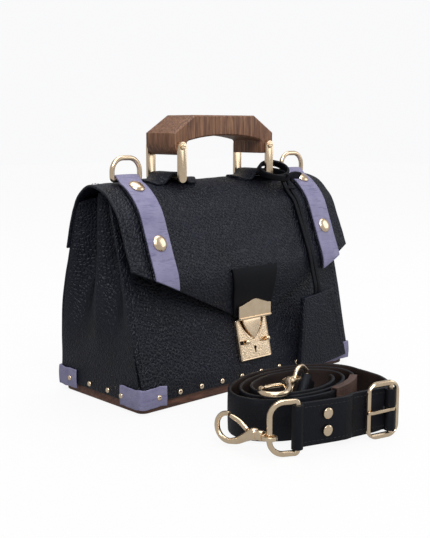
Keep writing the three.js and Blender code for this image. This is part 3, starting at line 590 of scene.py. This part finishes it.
def build_rear():
    """The rear panel, curved in at its top."""
    xs = np.linspace(-1, 1, 97)
    curve = resample(REAR_CURVE, 84)
    rows = np.zeros((len(curve), len(xs), 3))
    for i, (y, z) in enumerate(curve):
        x = xs * (PANEL_HALF + 1.6 * smoothstep(z, BOARD_TOP, 70))
        uneven = 0.6 * waves(x, z, 9) * smoothstep(z, 22, 50) * (1 - smoothstep(z, 105, 118))
        rows[i] = np.stack([x, y + uneven * 0.7, np.full_like(x, z)], 1)
    place(sheet("rear_skin", rows, HIDE, BLACK, HIDE_EDGE), "shell", "rear_panel")


def build_gusset(side, word):
    """A side hide that folds inwards towards its top, with a crease down its middle."""
    ws = np.linspace(-1, 1, 61)
    zs = np.linspace(PANEL_FOOT, GUSSET_TOP, 76)
    rows = np.zeros((len(zs), len(ws), 3))
    for i, z in enumerate(zs):
        near, far = front_y(z) + GUSSET_INSET, rear_y(z) - GUSSET_INSET
        y = near + (ws + 1) / 2 * (far - near)
        fold = GUSSET_FOLD * smoothstep(z, 26, 130)
        pinch = np.sin(math.pi * ws) ** 2
        sway = 0.9 * waves(y * 2.2, z * 0.6, 21 + side) * smoothstep(z, 24, 60) * (1 - np.abs(ws) ** 6)
        inwards = fold * (pinch + 0.3 * (1 - ws * ws))
        crease = 0.9 * smoothstep(z, 40, 110) * np.exp(-((ws - 0.02) / 0.07) ** 2)
        x = SKIN_SIDE - inwards + sway * 0.6 + crease
        rise = 9 * smoothstep(z, 120, GUSSET_TOP) * (1 - ws * ws)
        rows[i] = np.stack([side * np.minimum(x, SKIN_SIDE + 0.1), y, z + rise], 1)
    place(sheet(f"gusset_skin_{word}", rows, THIN_HIDE, BLACK, 0.4, side=-side), "shell", f"gusset_{word}")


def build_flap():
    """One hide from the rear hem over the top to the pointed front edge, its curve turning at the hinge line.
    """
    xs = np.linspace(-FLAP_HALF, FLAP_HALF, 121)
    rows = []
    for x in xs:
        line = resample(cut_curve(WHOLE_CURVE, float(hem(x))), 110)
        normals = lifted(line, 1) - line
        y, z = line[:, 0], line[:, 1]
        rim = 0.8 * smoothstep(abs(x), 108, FLAP_HALF) * smoothstep(z, 80, 160)
        from_hinge = np.hypot(y - HINGE_Y, z - HINGE_Z)
        uneven = 0.5 * waves(np.full_like(z, x), z + y, 14) * smoothstep(from_hinge, 4, 24)
        from_trim = abs(abs(x) - TRIM_X) - TRIM_HALF_WIDTH
        calm = smoothstep(from_trim, 0, 6)
        calm *= 1 - smoothstep(30 - abs(x), 0, 6) * (1 - smoothstep(z, 104, 112))
        rows.append(across_line(np.full_like(y, x), line, normals, uneven * calm - rim))
    skin = sheet("flap_hide", np.array(rows), HIDE, BLACK, HIDE_EDGE, side=-1)
    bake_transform(skin)
    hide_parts("flap", "flap_rear")


def trim_rows(x):
    """A strap from its ring loop down the flap's front, its foot cut with the hem."""
    path = np.vstack([loop_arc(3.9, -0.1, 0.68), on_front(TRIM_LIFT, TRIM_TOP)])
    rows = []
    for u in np.linspace(-1, 1, 15):
        px = x + u * TRIM_HALF_WIDTH
        line = resample(cut_curve(path, float(hem(px))), 96)
        out = lifted(line, 1) - line
        rows.append(across_line(np.full(len(line), px), line, out, TRIM_BELLY * (1 - u * u)))
    return np.array(rows)


def loop_arc(radius, begin, end, count=22):
    """An arc round the ring's straight bar, its ends given in half turns."""
    angles = np.linspace(begin, end, count) * math.pi
    return np.stack([RING_Y + radius * np.cos(angles), RING_Z + radius * np.sin(angles)], 1)


def flap_spot(z, lift=0.0):
    """Where the flap's front is at the height z, as y, z and the slope of the leather."""
    line = lifted(FLAP_CURVE, lift)
    front = np.where((FLAP_CURVE[:, 0] < FRONT_ONLY) & (line[:, 1] <= z))[0][0]
    a, b = line[front - 1], line[front]
    t = (a[1] - z) / (a[1] - b[1])
    spot = a + (b - a) * t
    return spot[0], spot[1], math.atan2(a[1] - b[1], a[0] - b[0])


def rivet_profile():
    """A trim rivet from its foot under the flap to its rimmed, domed cap."""
    rim_height, rise = 5.0, 1.55
    shank = [(0, -3.3), (4, -3.3), (4, -2.3), (1.5, -2.3), (1.5, 4.15)]
    rim = [(6.35, 4.15), (6.4, 4.5), (6.1, rim_height)]
    cap = [(r, rim_height + h) for r, h in dome(5.6, rise)][1:-1]
    return shank + rim + cap + [(0, rim_height + rise)]


def build_trims():
    """The two lavender trims, their backings and two rivets on each."""
    for word, side in (("left", -1), ("right", 1)):
        x = side * TRIM_X
        trim = sheet(f"trim_leather_{word}", trim_rows(x), THIN_HIDE, LAVENDER, 0.4, side=-1)
        place(trim, "flap", f"trim_{word}")
        refine(f"trim_backing_{word}", BLACK, 0.35)
        for row, height in RIVET_HEIGHTS.items():
            y, z, tilt = flap_spot(height)
            matrix = Matrix.Translation((x, y, z)) @ Matrix.Rotation(tilt, 4, "X")
            rivet = turned(f"rivet_{word}_{row}", rivet_profile(), [matrix], BRASS, 40)
            place(rivet, "flap", f"trim_rivet_{word}_{row}")


def build_rings():
    """A D-ring in each trim's loop."""
    for word, side in (("left", -1), ("right", 1)):
        half, low, top, corner, foot = 13.4, RING_Z, RING_Z + 16.8, 10.5, 2
        corners = ((half - corner, top - corner, 0, corner), (corner - half, top - corner, 90, corner),
                   (foot - half, low + foot, 180, foot), (half - foot, low + foot, 270, foot))
        path = [(side * TRIM_X + px, RING_Y, pz) for px, pz in rounded_loop(corners, 12)]
        ring = sweep(f"ring_{word}", path, ellipse(2.0, 2.0, 16), BRASS, True, up=(0, 1, 0))
        place(ring, f"d_ring_{word}", f"d_ring_{word}")


TAB_X, TAB_HALF_LENGTH, TAB_HALF_WIDTH, TAB_POINT, TAB_HUMP_Z = 49.5, 29, 13, 8, 177.6


def build_tabs():
    """The handle tabs: pointed leather strips, humped over the bracket rods."""
    for word, side in (("left", -1), ("right", 1)):
        rows = []
        for along in np.linspace(-TAB_HALF_LENGTH, TAB_HALF_LENGTH, 81):
            taper = np.interp(abs(along), [0, TAB_HALF_LENGTH - TAB_POINT, TAB_HALF_LENGTH], [1, 1, 0.15])
            hump = 1 - smoothstep(abs(along), 3.6, 15)
            ys = np.linspace(-TAB_HALF_WIDTH, TAB_HALF_WIDTH, 23) * taper
            top = np.interp(ys, FLAP_CURVE[::-1, 0], FLAP_CURVE[::-1, 1]) + 0.3
            z = top * (1 - hump) + TAB_HUMP_Z * hump + 1.8
            z = z + 0.22 * waves(np.full_like(ys, along), ys, 31)
            rows.append(np.stack([np.full_like(ys, side * TAB_X + along), ys, z], 1))
        tab = sheet(f"tab_leather_{word}", np.array(rows), 1.7, BLACK, 0.4, side=1)
        place(tab, "flap", f"handle_tab_{word}")


def build_brackets():
    """The handle's two brackets and four screws."""
    for word in ("left", "right"):
        refine(f"handle_bracket_{word}", BRASS, 0.5, 3, 30)
        for face in ("front", "rear"):
            refine(f"handle_screw_{word}_{face}", BRASS, 0.18, 2, 30)


NAIL_Z, NAIL_FRONT, NAIL_SIDE = 12, 51.5, 119
NAIL_ON_LEATHER, NAIL_ON_PATCH = 2.5, 4.1


def nail_profile(base):
    """A nail whose domed head lies at the height base above its row's plane."""
    shank = [(0, base - 3), (0.55, base - 3), (0.55, base)]
    rim = [(2.15, base), (2.2, base + 0.25)]
    head = [(r, base + 0.25 + h) for r, h in dome(2.1, 1.1, 5)][1:-1]
    return shank + rim + head + [(0, base + 1.4)]


def build_nails():
    """Domed nail heads, one mesh per side, on the leather or on a corner patch."""
    quarter = math.pi / 2
    side_places = (38, 12.4, -12.2, -31.5)
    sides = {
        "front": ([(x, -NAIL_FRONT) for x in np.linspace(-105, 97, 10)], quarter, "X"),
        "rear": ([(x, NAIL_FRONT) for x in np.linspace(-105, 105, 10)], -quarter, "X"),
        "left": ([(-NAIL_SIDE, y) for y in side_places], -quarter, "Y"),
        "right": ([(NAIL_SIDE, y) for y in side_places], quarter, "Y"),
    }
    for word, (spots, angle, axis) in sides.items():
        turn = Matrix.Rotation(angle, 4, axis)
        places = [Matrix.Translation((x, y, NAIL_Z)) @ turn for x, y in spots]
        low = turned(f"nail_heads_{word}", nail_profile(NAIL_ON_LEATHER), places[1:-1], BRASS, 20)
        place(low, "shell", f"nails_{word}")
        ends = [places[0], places[-1]]
        raised = turned(f"patch_nails_{word}", nail_profile(NAIL_ON_PATCH), ends, BRASS, 20)
        place(raised, "shell", slot="brass")


PATCH_X, PATCH_Y, PATCH_FOLD = 122.9, 55.4, 2.6
PATCHES = {
    "front_left": (-1, -1, 26), "front_right": (1, -1, 33),
    "rear_left": (-1, 1, 26), "rear_right": (1, 1, 26),
}


def patch_path(reach, depth=26):
    """A patch's plan line at the +X +Y corner: along the long side, round the corner, along the short one."""
    r = PATCH_FOLD
    path = [(PATCH_X - reach + t * (reach - r), PATCH_Y) for t in np.linspace(0, 1, 16)]
    turn = np.linspace(0.1, 1.47, 8)
    path += [(PATCH_X - r + r * math.sin(t), PATCH_Y - r + r * math.cos(t)) for t in turn]
    path += [(PATCH_X, PATCH_Y - r - t * (depth - r)) for t in np.linspace(0, 1, 16)]
    return resample(np.array(path), 52)


def build_patches():
    """Soft lavender corner patches: a folded strip with wavy edges."""
    for name, (sx, sy, reach) in PATCHES.items():
        path = patch_path(reach)
        rows = []
        for i, (px, py) in enumerate(path):
            u = i / (len(path) - 1)
            wave = 0.5 * math.sin(u * 17 + sx) + 0.35 * math.sin(u * 31 + sy * 2)
            zs = np.linspace(4.6 + 0.5 * wave, 20.2 + 0.6 * wave, 12)
            creased = 0.2 * waves(np.full(12, u * 60), zs, 41, (18, 9))
            bulge = 0.45 * np.sin(np.linspace(0, math.pi, 12)) + creased
            away = np.maximum([px - (PATCH_X - 12), py - (PATCH_Y - 12)], 0) / 17
            rows.append(np.stack([sx * (px + away[0] * bulge), sy * (py + away[1] * bulge), zs], 1))
        skin = sheet(f"patch_{name}", np.array(rows), 1.2, LAVENDER, 0.35, side=-sx * sy)
        place(skin, "shell", f"corner_patch_{name}")


PILL = [(0.0, 0.35), (1 / 6, 0.9), (1 / 2, 1.0), (5 / 6, 0.9), (1.0, 0.35)]
PILL_SIDES = 6


def stitches(name, points, outs, body, length=2.6, gap=1.2, radius=0.28):
    """A row of thread stitches along a line, each a small pill pressed into the leather."""
    points = np.asarray(points, float)
    steps = np.r_[0, np.cumsum(np.linalg.norm(np.diff(points, axis=0), axis=1))]
    count = max(2, int(steps[-1] / (length + gap)))
    outs = np.asarray(outs, float)

    def at(s, values):
        return np.array([np.interp(s, steps, values[:, k]) for k in range(3)])

    verts, faces = [], []
    for i in range(count):
        s0 = (i + 0.2) * steps[-1] / count
        s1 = s0 + length
        if s1 > steps[-1]:
            break
        a, b, out = at(s0, points), at(s1, points), at((s0 + s1) / 2, outs)
        along = (b - a) / np.linalg.norm(b - a)
        out = out / np.linalg.norm(out)
        across = np.cross(along, out)
        base = len(verts)
        for t, swell in PILL:
            centre = a + (b - a) * t + out * (0.12 * (swell - 0.6))
            for x, y in ellipse(radius * swell, radius * swell, PILL_SIDES):
                verts.append(centre + across * x + out * y)
        for ring in range(len(PILL) - 1):
            low = base + ring * PILL_SIDES
            for k in range(PILL_SIDES):
                after = (k + 1) % PILL_SIDES
                faces.append([low + k, low + after, low + PILL_SIDES + after, low + PILL_SIDES + k])
        faces.append([base + k for k in range(PILL_SIDES - 1, -1, -1)])
        faces.append([len(verts) - PILL_SIDES + k for k in range(PILL_SIDES)])
    place(make(name, verts, faces, THREAD, 60), body, slot="leather")


def build_stitching():
    """Thread along the flap's pointed hem, its side edges and the front panel's side edges."""
    for word, side in (("left", -1), ("right", 1)):
        line, outs = [], []
        for x in np.linspace(side * 119, side * 30, 60):
            y, z, tilt = flap_spot(float(hem(x)) + 4.6, 0.1)
            line.append((x, y, z))
            outs.append((0, -math.sin(tilt), math.cos(tilt)))
        stitches(f"hem_thread_{word}", line, outs, "flap")
        curve = lifted(cut_curve(FLAP_CURVE, 116), 0.02)[6:]
        rim = np.insert(curve, 0, side * 118.6, axis=1)
        rim_outs = np.insert(lifted(curve, 1) - curve, 0, 0, axis=1)
        stitches(f"side_thread_{word}", rim, rim_outs, "flap")
        front = [(side * 116.5, front_y(z) - 0.25, z) for z in np.linspace(24, 104, 40)]
        stitches(f"front_thread_{word}", front, [(0, -1, 0.2)] * 40, "shell")


# ---- lock ----
LOCK_LEAN = math.atan(LEAN)
LOCK_FOOT, LOCK_RISE, LOCK_HALF, LOCK_FACE = 24, 33.5, 17.0, 3.15
RECESS_TOP, RECESS_FOOT, RECESS_HALF = 1.2, 15.4, 14.9
LOCK_TAB_FOOT, LOCK_TAB_TOP = 61, 103


def lock_point(x, up, out):
    """A place on the leaning lock plate: up along it from its foot, out from its back."""
    y = float(front_y(LOCK_FOOT)) - 0.3 + up * math.sin(LOCK_LEAN) - out * math.cos(LOCK_LEAN)
    return (x, y, LOCK_FOOT + up * math.cos(LOCK_LEAN) + out * math.sin(LOCK_LEAN))


def lock_rim():
    """A raised rounded rim round the lock plate and round its shield-shaped recess."""
    out_way = Vector(lock_point(0, 0, 1)) - Vector(lock_point(0, 0, 0))
    height = LOCK_RISE / math.cos(LOCK_LEAN)
    corners = soft_rectangle(LOCK_HALF, height / 2 - 0.6, 1.2, 5)
    outline = [lock_point(a, height / 2 + b, LOCK_FACE) for a, b in corners]
    place(sweep("lock_rim", outline, ellipse(0.55, 0.5, 8), BRASS, True, up=out_way), "shell", slot="brass")
    top = height - RECESS_TOP
    steps = np.linspace(0.03, 1, 26)
    shield = [(RECESS_HALF * (1 - t) ** 0.55, top + (RECESS_FOOT - top) * t) for t in steps]
    shield += [(-a, b) for a, b in shield[::-1]]
    path = resample(np.array([lock_point(a, b, LOCK_FACE) for a, b in shield]), 60)
    place(sweep("recess_rim", path, ellipse(0.4, 0.35, 8), BRASS, up=out_way), "shell", slot="brass")


def build_lock():
    """Lock plate, catch and hasp, and the smooth leather tab that the hasp hangs on."""
    refine("lock_plate", ENGRAVED, 0)
    lock_rim()
    refine("lock_back_plate", BRASS, 0.3, 2)
    refine("catch_bar", BRASS, 0.12, 2, 40)
    refine("hasp_tongue", BRASS, 0.2, 2, 35)
    refine("hasp_plate", BRASS, 0)
    edge = [(x, -54.35, 60.1) for x in np.linspace(-18.2, 18.2, 20)]
    place(sweep("hasp_lip", edge, soft_rectangle(0.75, 0.55, 0.35), BRASS), "flap", slot="brass")
    line = resample(cut_curve(on_front(2.1, LOCK_TAB_TOP + 0.5), LOCK_TAB_FOOT + 0.5), 50)
    out = lifted(line, 1) - line
    half = np.interp(line[:, 1], [LOCK_TAB_FOOT, LOCK_TAB_TOP], [21, 26.4])
    share = np.clip((line[:, 1] - LOCK_TAB_FOOT) / (LOCK_TAB_TOP - LOCK_TAB_FOOT), 0, 1)
    rows = []
    for u in np.linspace(-1, 1, 25):
        rows.append(across_line(u * half, line, out, 0.55 * (1 - u * u) * np.sin(share * math.pi)))
    place(sheet("tab_smooth", np.array(rows), 1.7, SMOOTH, 0.45, side=-1), "flap", "lock_tab")


# ---- key case ----
def tilted_loop(centre, across, deep, tilt, fall=0.0):
    """An oval of points tipped back about X, its right end lower by fall per millimetre."""
    path = []
    for x, y in ellipse(across, deep, 56):
        path.append(np.array(centre) + np.array([x, y * math.cos(tilt), y * math.sin(tilt) - fall * x]))
    return path


def key_band(name, centre, size, tilt, fall, section):
    """A flat leather band round an oval of the given half width and half depth."""
    up = (0, -math.sin(tilt), math.cos(tilt))
    path = tilted_loop(centre, *size, tilt, fall)
    return sweep(name, path, soft_rectangle(*section, 0.8), SMOOTH, True, up=up)


def build_key_loop():
    """The folded loop that the key case hangs on, its free tail, and the knot round the two straps."""
    band = key_band("key_loop", (56.2, -19.2, 178.0), (16.7, 8.7), math.pi / 4, 0.0, (1.15, 3.1))
    place(band, "flap", "clochette_loop")
    fold = key_band("key_fold", (58.0, -21.0, 174.2), (15.2, 7.8), math.radians(24), 0.09, (1.1, 2.7))
    place(fold, "flap", slot="leather")
    rows = []
    for t in np.linspace(0, 1, 22):
        px, py, pz = 62 + 22.5 * t, -29.2 + 3.2 * t, 170.4 + 1.3 * t + 1.5 * math.sin(math.pi * t)
        half = 4.6 * (1 - 0.25 * t)
        rows.append([(px, py - 0.62 * half * u, pz + 0.78 * half * u) for u in np.linspace(-1, 1, 9)])
    place(sheet("key_tail", np.array(rows), 1.7, SMOOTH, 0.4, side=1), "flap", slot="leather")
    along = Vector((0.0, -0.5, -0.87)).normalized()
    wide = Vector((1.0, 0.0, 0.0))
    thick = along.cross(wide)
    centre = Vector((68.8, -26.7, 162.0))
    knot = [tuple(centre + wide * a + thick * b) for a, b in ellipse(5.6, 2.1, 40)]
    wrap = sweep("key_knot", knot, soft_rectangle(0.8, 1.9, 0.6), SMOOTH, True, up=along)
    place(wrap, "clochette", slot="leather")


KEY_X, KEY_TURN_Z, KEY_LEAN, KEY_FACE = 70, 72, -0.12, -63.15


def build_key_straps():
    """Two thin straps side by side, from the knot down the flap and free below its bend."""
    lying = on_front(3.2, 162.5)
    lying = lying[lying[:, 1] >= 100]
    last = lying[-1]
    head = [[-25.6, 172.5], [-27.4, 169.0], [-27.6, 165.4]]
    foot = [[last[0] - 2.4, last[1] - 9], [-61.3, 79], [-61.3, 62]]
    line = resample(catmull(resample(np.vstack([head, lying, foot]), 16), 120), 110)
    reach = smoothstep(line[:, 1], 150, 173)
    free = smoothstep(170 - line[:, 1], 0, 20) * smoothstep(line[:, 1], 82, 95)
    for k, shift in enumerate((-2.15, 2.15)):
        wave = 0.5 * np.sin(line[:, 1] * 0.07 + k * 2.1) * free
        middle = KEY_X + shift + reach * (-5.5 + shift * 0.6) + wave
        rows = [np.insert(line, 0, middle + u * 1.75, axis=1) for u in np.linspace(-1, 1, 7)]
        strap = sheet(f"key_strap_{k}", np.array(rows), 2.0, SMOOTH, 0.4, side=-1)
        if k == 0:
            place(strap, "clochette", "clochette_strap")
        else:
            place(strap, "clochette", slot="leather")


def build_key_case():
    """The sliding cover with thread round its border, and the key inside."""
    refine("clochette_cover", BLACK, 0.9, 3, 35)
    turn_at = Matrix.Translation((KEY_X, 0, KEY_TURN_Z))
    lean = turn_at @ Matrix.Rotation(KEY_LEAN, 4, "Y") @ Matrix.Translation((0, 0, -KEY_TURN_Z))
    border = [(-16.2, 69.4), (16.2, 69.4), (27.6, 9.6), (-27.6, 9.6), (-16.2, 69.4)]
    for k, (a, b) in enumerate(zip(border, border[1:])):
        flat = [(a[0] + (b[0] - a[0]) * t, KEY_FACE, a[1] + (b[1] - a[1]) * t) for t in (0, 0.5, 1)]
        stitches(f"case_thread_{k}", moved(lean, flat), [(0, -1, 0)] * 3, "clochette_cover")
    refine("clochette_key", BRASS, 0.2)


# ---- handle and base board ----
def build_wood():
    """The handle and the base board."""
    refine("handle", HANDLE_WOOD, 1.7, 4, 22, name="handle_wood")
    refine("base_board", BASE_WOOD, 0.6, 2, 30, name="base_wood")


# ---- shoulder strap ----
COIL_X, COIL_Y, COIL_TURNS, COIL_START = -46, -141, 3, -0.25
COIL_OUTER, COIL_INNER = (63, 40), (35, 22)
STRAP_LOW, STRAP_WIDTH, STRAP_THICK = 1.6, 30, 2.5
SHORT_BEGIN, SHORT_END = np.array([-97.0, -189.0]), np.array([-20.0, -206.6])


def coil_at(turn):
    """The coil's middle line, an oval that narrows inwards."""
    angle = 2 * math.pi * turn + COIL_START
    t = turn / COIL_TURNS
    a, b = (outer + (inner - outer) * t for outer, inner in zip(COIL_OUTER, COIL_INNER))
    return COIL_X + a * math.cos(angle), COIL_Y + b * math.sin(angle)


def build_coil():
    """The long strap standing on its edge along a plan line, wavering a little as leather does."""
    lead = catmull([(-62, -190.4), (-40, -194.8), (-18, -197.6), (0, -192), (11, -176), (14.5, -160)], 60)
    coil = np.array([coil_at(t) for t in np.linspace(0, COIL_TURNS, 330)])
    line = resample(np.vstack([lead, coil[1:]]), 420)
    n = len(line)
    tangent = np.gradient(line, axis=0)
    tangent /= np.linalg.norm(tangent, axis=1, keepdims=True)
    left = np.stack([-tangent[:, 1], tangent[:, 0]], 1)
    run = np.r_[0, np.cumsum(np.linalg.norm(np.diff(line, axis=0), axis=1))]
    lift = 0.28 * waves(run, np.zeros(n), 81, (120, 55))
    rows = []
    for h in np.linspace(0, 1, 9):
        sway = 0.3 * waves(run, np.full(n, h * 20), 61, (90, 40)) * (h - 0.5)
        plan = line + left * (sway - 0.28 * math.sin(h * math.pi))[:, None]
        rows.append(np.insert(plan, 2, STRAP_LOW + STRAP_WIDTH * h + lift * h, axis=1))
    strap = sheet("strap_coil", np.array(rows), STRAP_THICK, STRAP_LEATHER, 0.5, side=-1, lining=LINING)
    place(strap, "strap", "strap_long")


# Where each end frame stands and how its hook hangs (radians), its bar's section and its hook's swell.
ENDS = {
    "1": {"at": (-97, -189, 20), "angle": 2.63, "pitch": 0.0, "eye": -5.8, "turn": -0.92, "drop": 0.0,
          "roll": 0.0, "bar": (1.8, 1.7, 0.95), "fat": 2.2},
    "2": {"at": (-42, -143.4, 21.5), "angle": 3.45, "pitch": 0.62, "eye": 4.3, "turn": 0.0, "drop": -0.62,
          "roll": math.pi / 2, "bar": (1.45, 1.4, 0.9), "fat": 1.9},
}
FRAME_OUTLINE = ((9.5, 8.0, 0, 9.7), (2.0, 15.7, 90, 2.0), (2.0, -15.7, 180, 2.0), (9.5, -8.0, 270, 9.7))
EYE_OFFSET = 19.2
HOOK_STEM = [(6.2, 0, 0), (7.6, 0, 0), (8.4, 0, 0), (10.6, 0, 0), (14, 0, -0.4), (19.5, 0, -3.6),
             (26, 0, -7.4), (31.2, 0, -9.1)]
HOOK_CENTRE, HOOK_RADIUS = 34.5, 9.6
GATE_PATH = [(18.4, 0, 1.8), (20.6, 0, 3.3), (23.2, 0, 5.1), (27.0, 0, 6.9), (32.3, 0, 8.5)]


def side_way(matrix):
    """A part's own Y direction."""
    return matrix.to_3x3() @ Vector((0, 1, 0))


def build_end(word):
    """End frame, hook and gate as smooth bars in the places of the CAD parts."""
    end = ENDS[word]
    frame_at = (Matrix.Translation(end["at"]) @ Matrix.Rotation(end["angle"], 4, "Z")
                @ Matrix.Rotation(-end["pitch"], 4, "Y"))
    eye_at = frame_at @ Matrix.Translation((EYE_OFFSET, 0, end["eye"])) @ Matrix.Rotation(end["turn"], 4, "Z")
    hook_at = eye_at @ Matrix.Rotation(-end["drop"], 4, "Y") @ Matrix.Rotation(end["roll"], 4, "X")
    path = moved(frame_at, [(x, 0, z) for x, z in rounded_loop(FRAME_OUTLINE, 14)])
    ring = sweep(f"frame_bar_{word}", path, soft_rectangle(*end["bar"]), BRASS, True, up=side_way(frame_at))
    place(ring, f"end_frame_{word}", f"end_frame_{word}")
    refine(f"hook_eye_{word}", BRASS, 0.3, 3, 35)
    build_hook(word, hook_at, end["fat"])
    gate = catmull(GATE_PATH, 28)
    swell = np.interp(np.linspace(0, 1, len(gate)), [0, 0.12, 0.9, 1], [0.9, 1.1, 1.0, 0.8])
    bar = sweep(f"gate_bar_{word}", moved(hook_at, gate), ellipse(1.7, 1.45, 14), BRASS,
                up=side_way(hook_at), scale=swell)
    place(bar, f"hook_gate_{word}", f"hook_gate_{word}")


def build_hook(word, hook_at, fat):
    """A hook's stem, swelling to fat times its bar, and the open ring that it runs into."""
    angles = np.linspace(math.radians(-100), math.radians(97), 40)
    around = [(HOOK_CENTRE + HOOK_RADIUS * math.cos(t), 0, HOOK_RADIUS * math.sin(t)) for t in angles]
    stem = catmull(HOOK_STEM, 50)
    swell = np.interp(np.linspace(0, 1, len(stem)), [0, 0.1, 0.2, 0.3, 0.42, 0.55, 0.75, 1],
                      [0.6, 0.95, 0.62, 0.62, fat - 0.15, fat, 1.5, 1.05])
    scale = np.r_[swell, np.linspace(1.0, 0.85, len(around))]
    path = moved(hook_at, np.vstack([stem, around]))
    hook = sweep(f"hook_bar_{word}", path, ellipse(2.0, 2.1, 16), BRASS, up=side_way(hook_at), scale=scale)
    place(hook, f"hook_{word}", f"hook_{word}")


def stitch_short_strap():
    """Two rows of thread along the short strap's outer face, set in from its edges."""
    length = float(np.linalg.norm(SHORT_END - SHORT_BEGIN))
    along = (SHORT_END - SHORT_BEGIN) / length
    left = np.array([-along[1], along[0]])
    bend = catmull([(1.2, 3.7), (12, 3), (40, 1), (length - 30, 4.9), (length - 6, 4.9),
                    (length - 1.2, 3.8)], 60)
    for word, z in (("low", 8.0), ("high", 32.0)):
        line, outs = [], []
        for t, out in bend[6:-4]:
            spot = SHORT_BEGIN + along * t + left * (out - 2.65)
            line.append((spot[0], spot[1], z))
            outs.append((-left[0], -left[1], 0))
        stitches(f"strap_thread_{word}", line, outs, "strap", 2.2, 1.0, 0.22)


def build_strap():
    """The loose shoulder strap with its keeper, rivets, buckle and two ends."""
    build_coil()
    for node in ("strap_short", "strap_chape"):
        refine(node, STRAP_LEATHER, 0.55, 3, 40)
    refine("strap_keeper", BROWN, 0.4, 3, 35)
    stitch_short_strap()
    for node in ("strap_rivet_upper", "strap_rivet_lower"):
        refine(node, BRASS, 0.15, 2, 30)
    for word in ("1", "2"):
        build_end(word)
    refine("buckle_frame", BRASS, 0.4, 3, 40)
    refine("buckle_prong", BRASS, 0.3, 2, 35)


# ---- floor, light and camera ----
FLOOR_GLOW = (0.34, 0.905)
BACKDROP_GLOW = (0.42, 0.962)
FLOOR_TONE = (0.04, 0.04, 0.04, 1)
LIGHT_TARGET = (0.0, 0.0, 0.1)
LIGHTS = {
    "key_light": {"at": (-0.75, -1.05, 1.35), "size": 1.0, "power": 21},
    "top_light": {"at": (0.2, 0.1, 1.6), "size": 1.4, "power": 12},
    "fill_light": {"at": (1.2, -0.9, 0.7), "size": 1.0, "power": 4},
}
CAMERA_AT, CAMERA_AIM, LENS = (-0.5326, -0.5784, 0.2158), (0.0034, -0.001, 0.0934), 61.4


def by_ray(tree, bounced, seen):
    """One strength for the camera's own rays and another for light that has bounced."""
    path = tree.nodes.new("ShaderNodeLightPath")
    level = tree.nodes.new("ShaderNodeMapRange")
    level.inputs["To Min"].default_value = bounced
    level.inputs["To Max"].default_value = seen
    tree.links.new(path.outputs["Is Camera Ray"], level.inputs["Value"])
    return level.outputs["Result"]


def facing(spot, target):
    """The rotation that points a light or camera at spot towards the target."""
    return (Vector(target) - Vector(spot)).to_track_quat("-Z", "Y").to_euler()


def build_floor():
    """A pale floor that glows a little, so that it reads as white as the backdrop."""
    bpy.ops.mesh.primitive_plane_add(size=8, location=(0, 0, 0))
    floor = bpy.context.object
    floor.name = "studio_floor"
    material, tree, shader = new_material("studio_white")
    shader.inputs["Base Color"].default_value = FLOOR_TONE
    shader.inputs["Roughness"].default_value = 0.85
    shader.inputs["Emission Color"].default_value = (1, 1, 1, 1)
    tree.links.new(by_ray(tree, *FLOOR_GLOW), shader.inputs["Emission Strength"])
    floor.data.materials.append(material)
    floor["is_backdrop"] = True


def build_backdrop():
    """The white world behind and round the bag."""
    world = bpy.data.worlds.new("studio")
    bpy.context.scene.world = world
    world.use_nodes = True
    background = world.node_tree.nodes["Background"]
    background.inputs["Color"].default_value = (0.99, 0.99, 1.0, 1)
    world.node_tree.links.new(by_ray(world.node_tree, *BACKDROP_GLOW), background.inputs["Strength"])


def build_lights():
    """Soft area lights."""
    for name, values in LIGHTS.items():
        data = bpy.data.lights.new(name, "AREA")
        data.size = values["size"]
        data.energy = values["power"]
        light = bpy.data.objects.new(name, data)
        light.location = values["at"]
        light.rotation_euler = facing(values["at"], LIGHT_TARGET)
        bpy.context.scene.collection.objects.link(light)
        light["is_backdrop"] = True


def build_camera():
    """The camera at the photograph's viewing angle."""
    data = bpy.data.cameras.new("camera")
    data.lens = LENS
    data.sensor_width = 36
    data.sensor_fit = "AUTO"
    data.clip_start = 0.01
    camera = bpy.data.objects.new("camera", data)
    camera.location = CAMERA_AT
    camera.rotation_euler = facing(CAMERA_AT, CAMERA_AIM)
    bpy.context.scene.collection.objects.link(camera)
    bpy.context.scene.camera = camera
    bpy.context.scene.view_settings.view_transform = "Standard"


build_front()
build_rear()
build_gusset(-1, "left")
build_gusset(1, "right")
build_flap()
build_trims()
build_rings()
build_tabs()
build_brackets()
build_nails()
build_patches()
build_stitching()
build_lock()
build_key_loop()
build_key_straps()
build_key_case()
build_wood()
build_strap()
build_floor()
build_backdrop()
build_lights()
build_camera()

{"cad": plain(start_bounds), "visual": plain(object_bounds())}
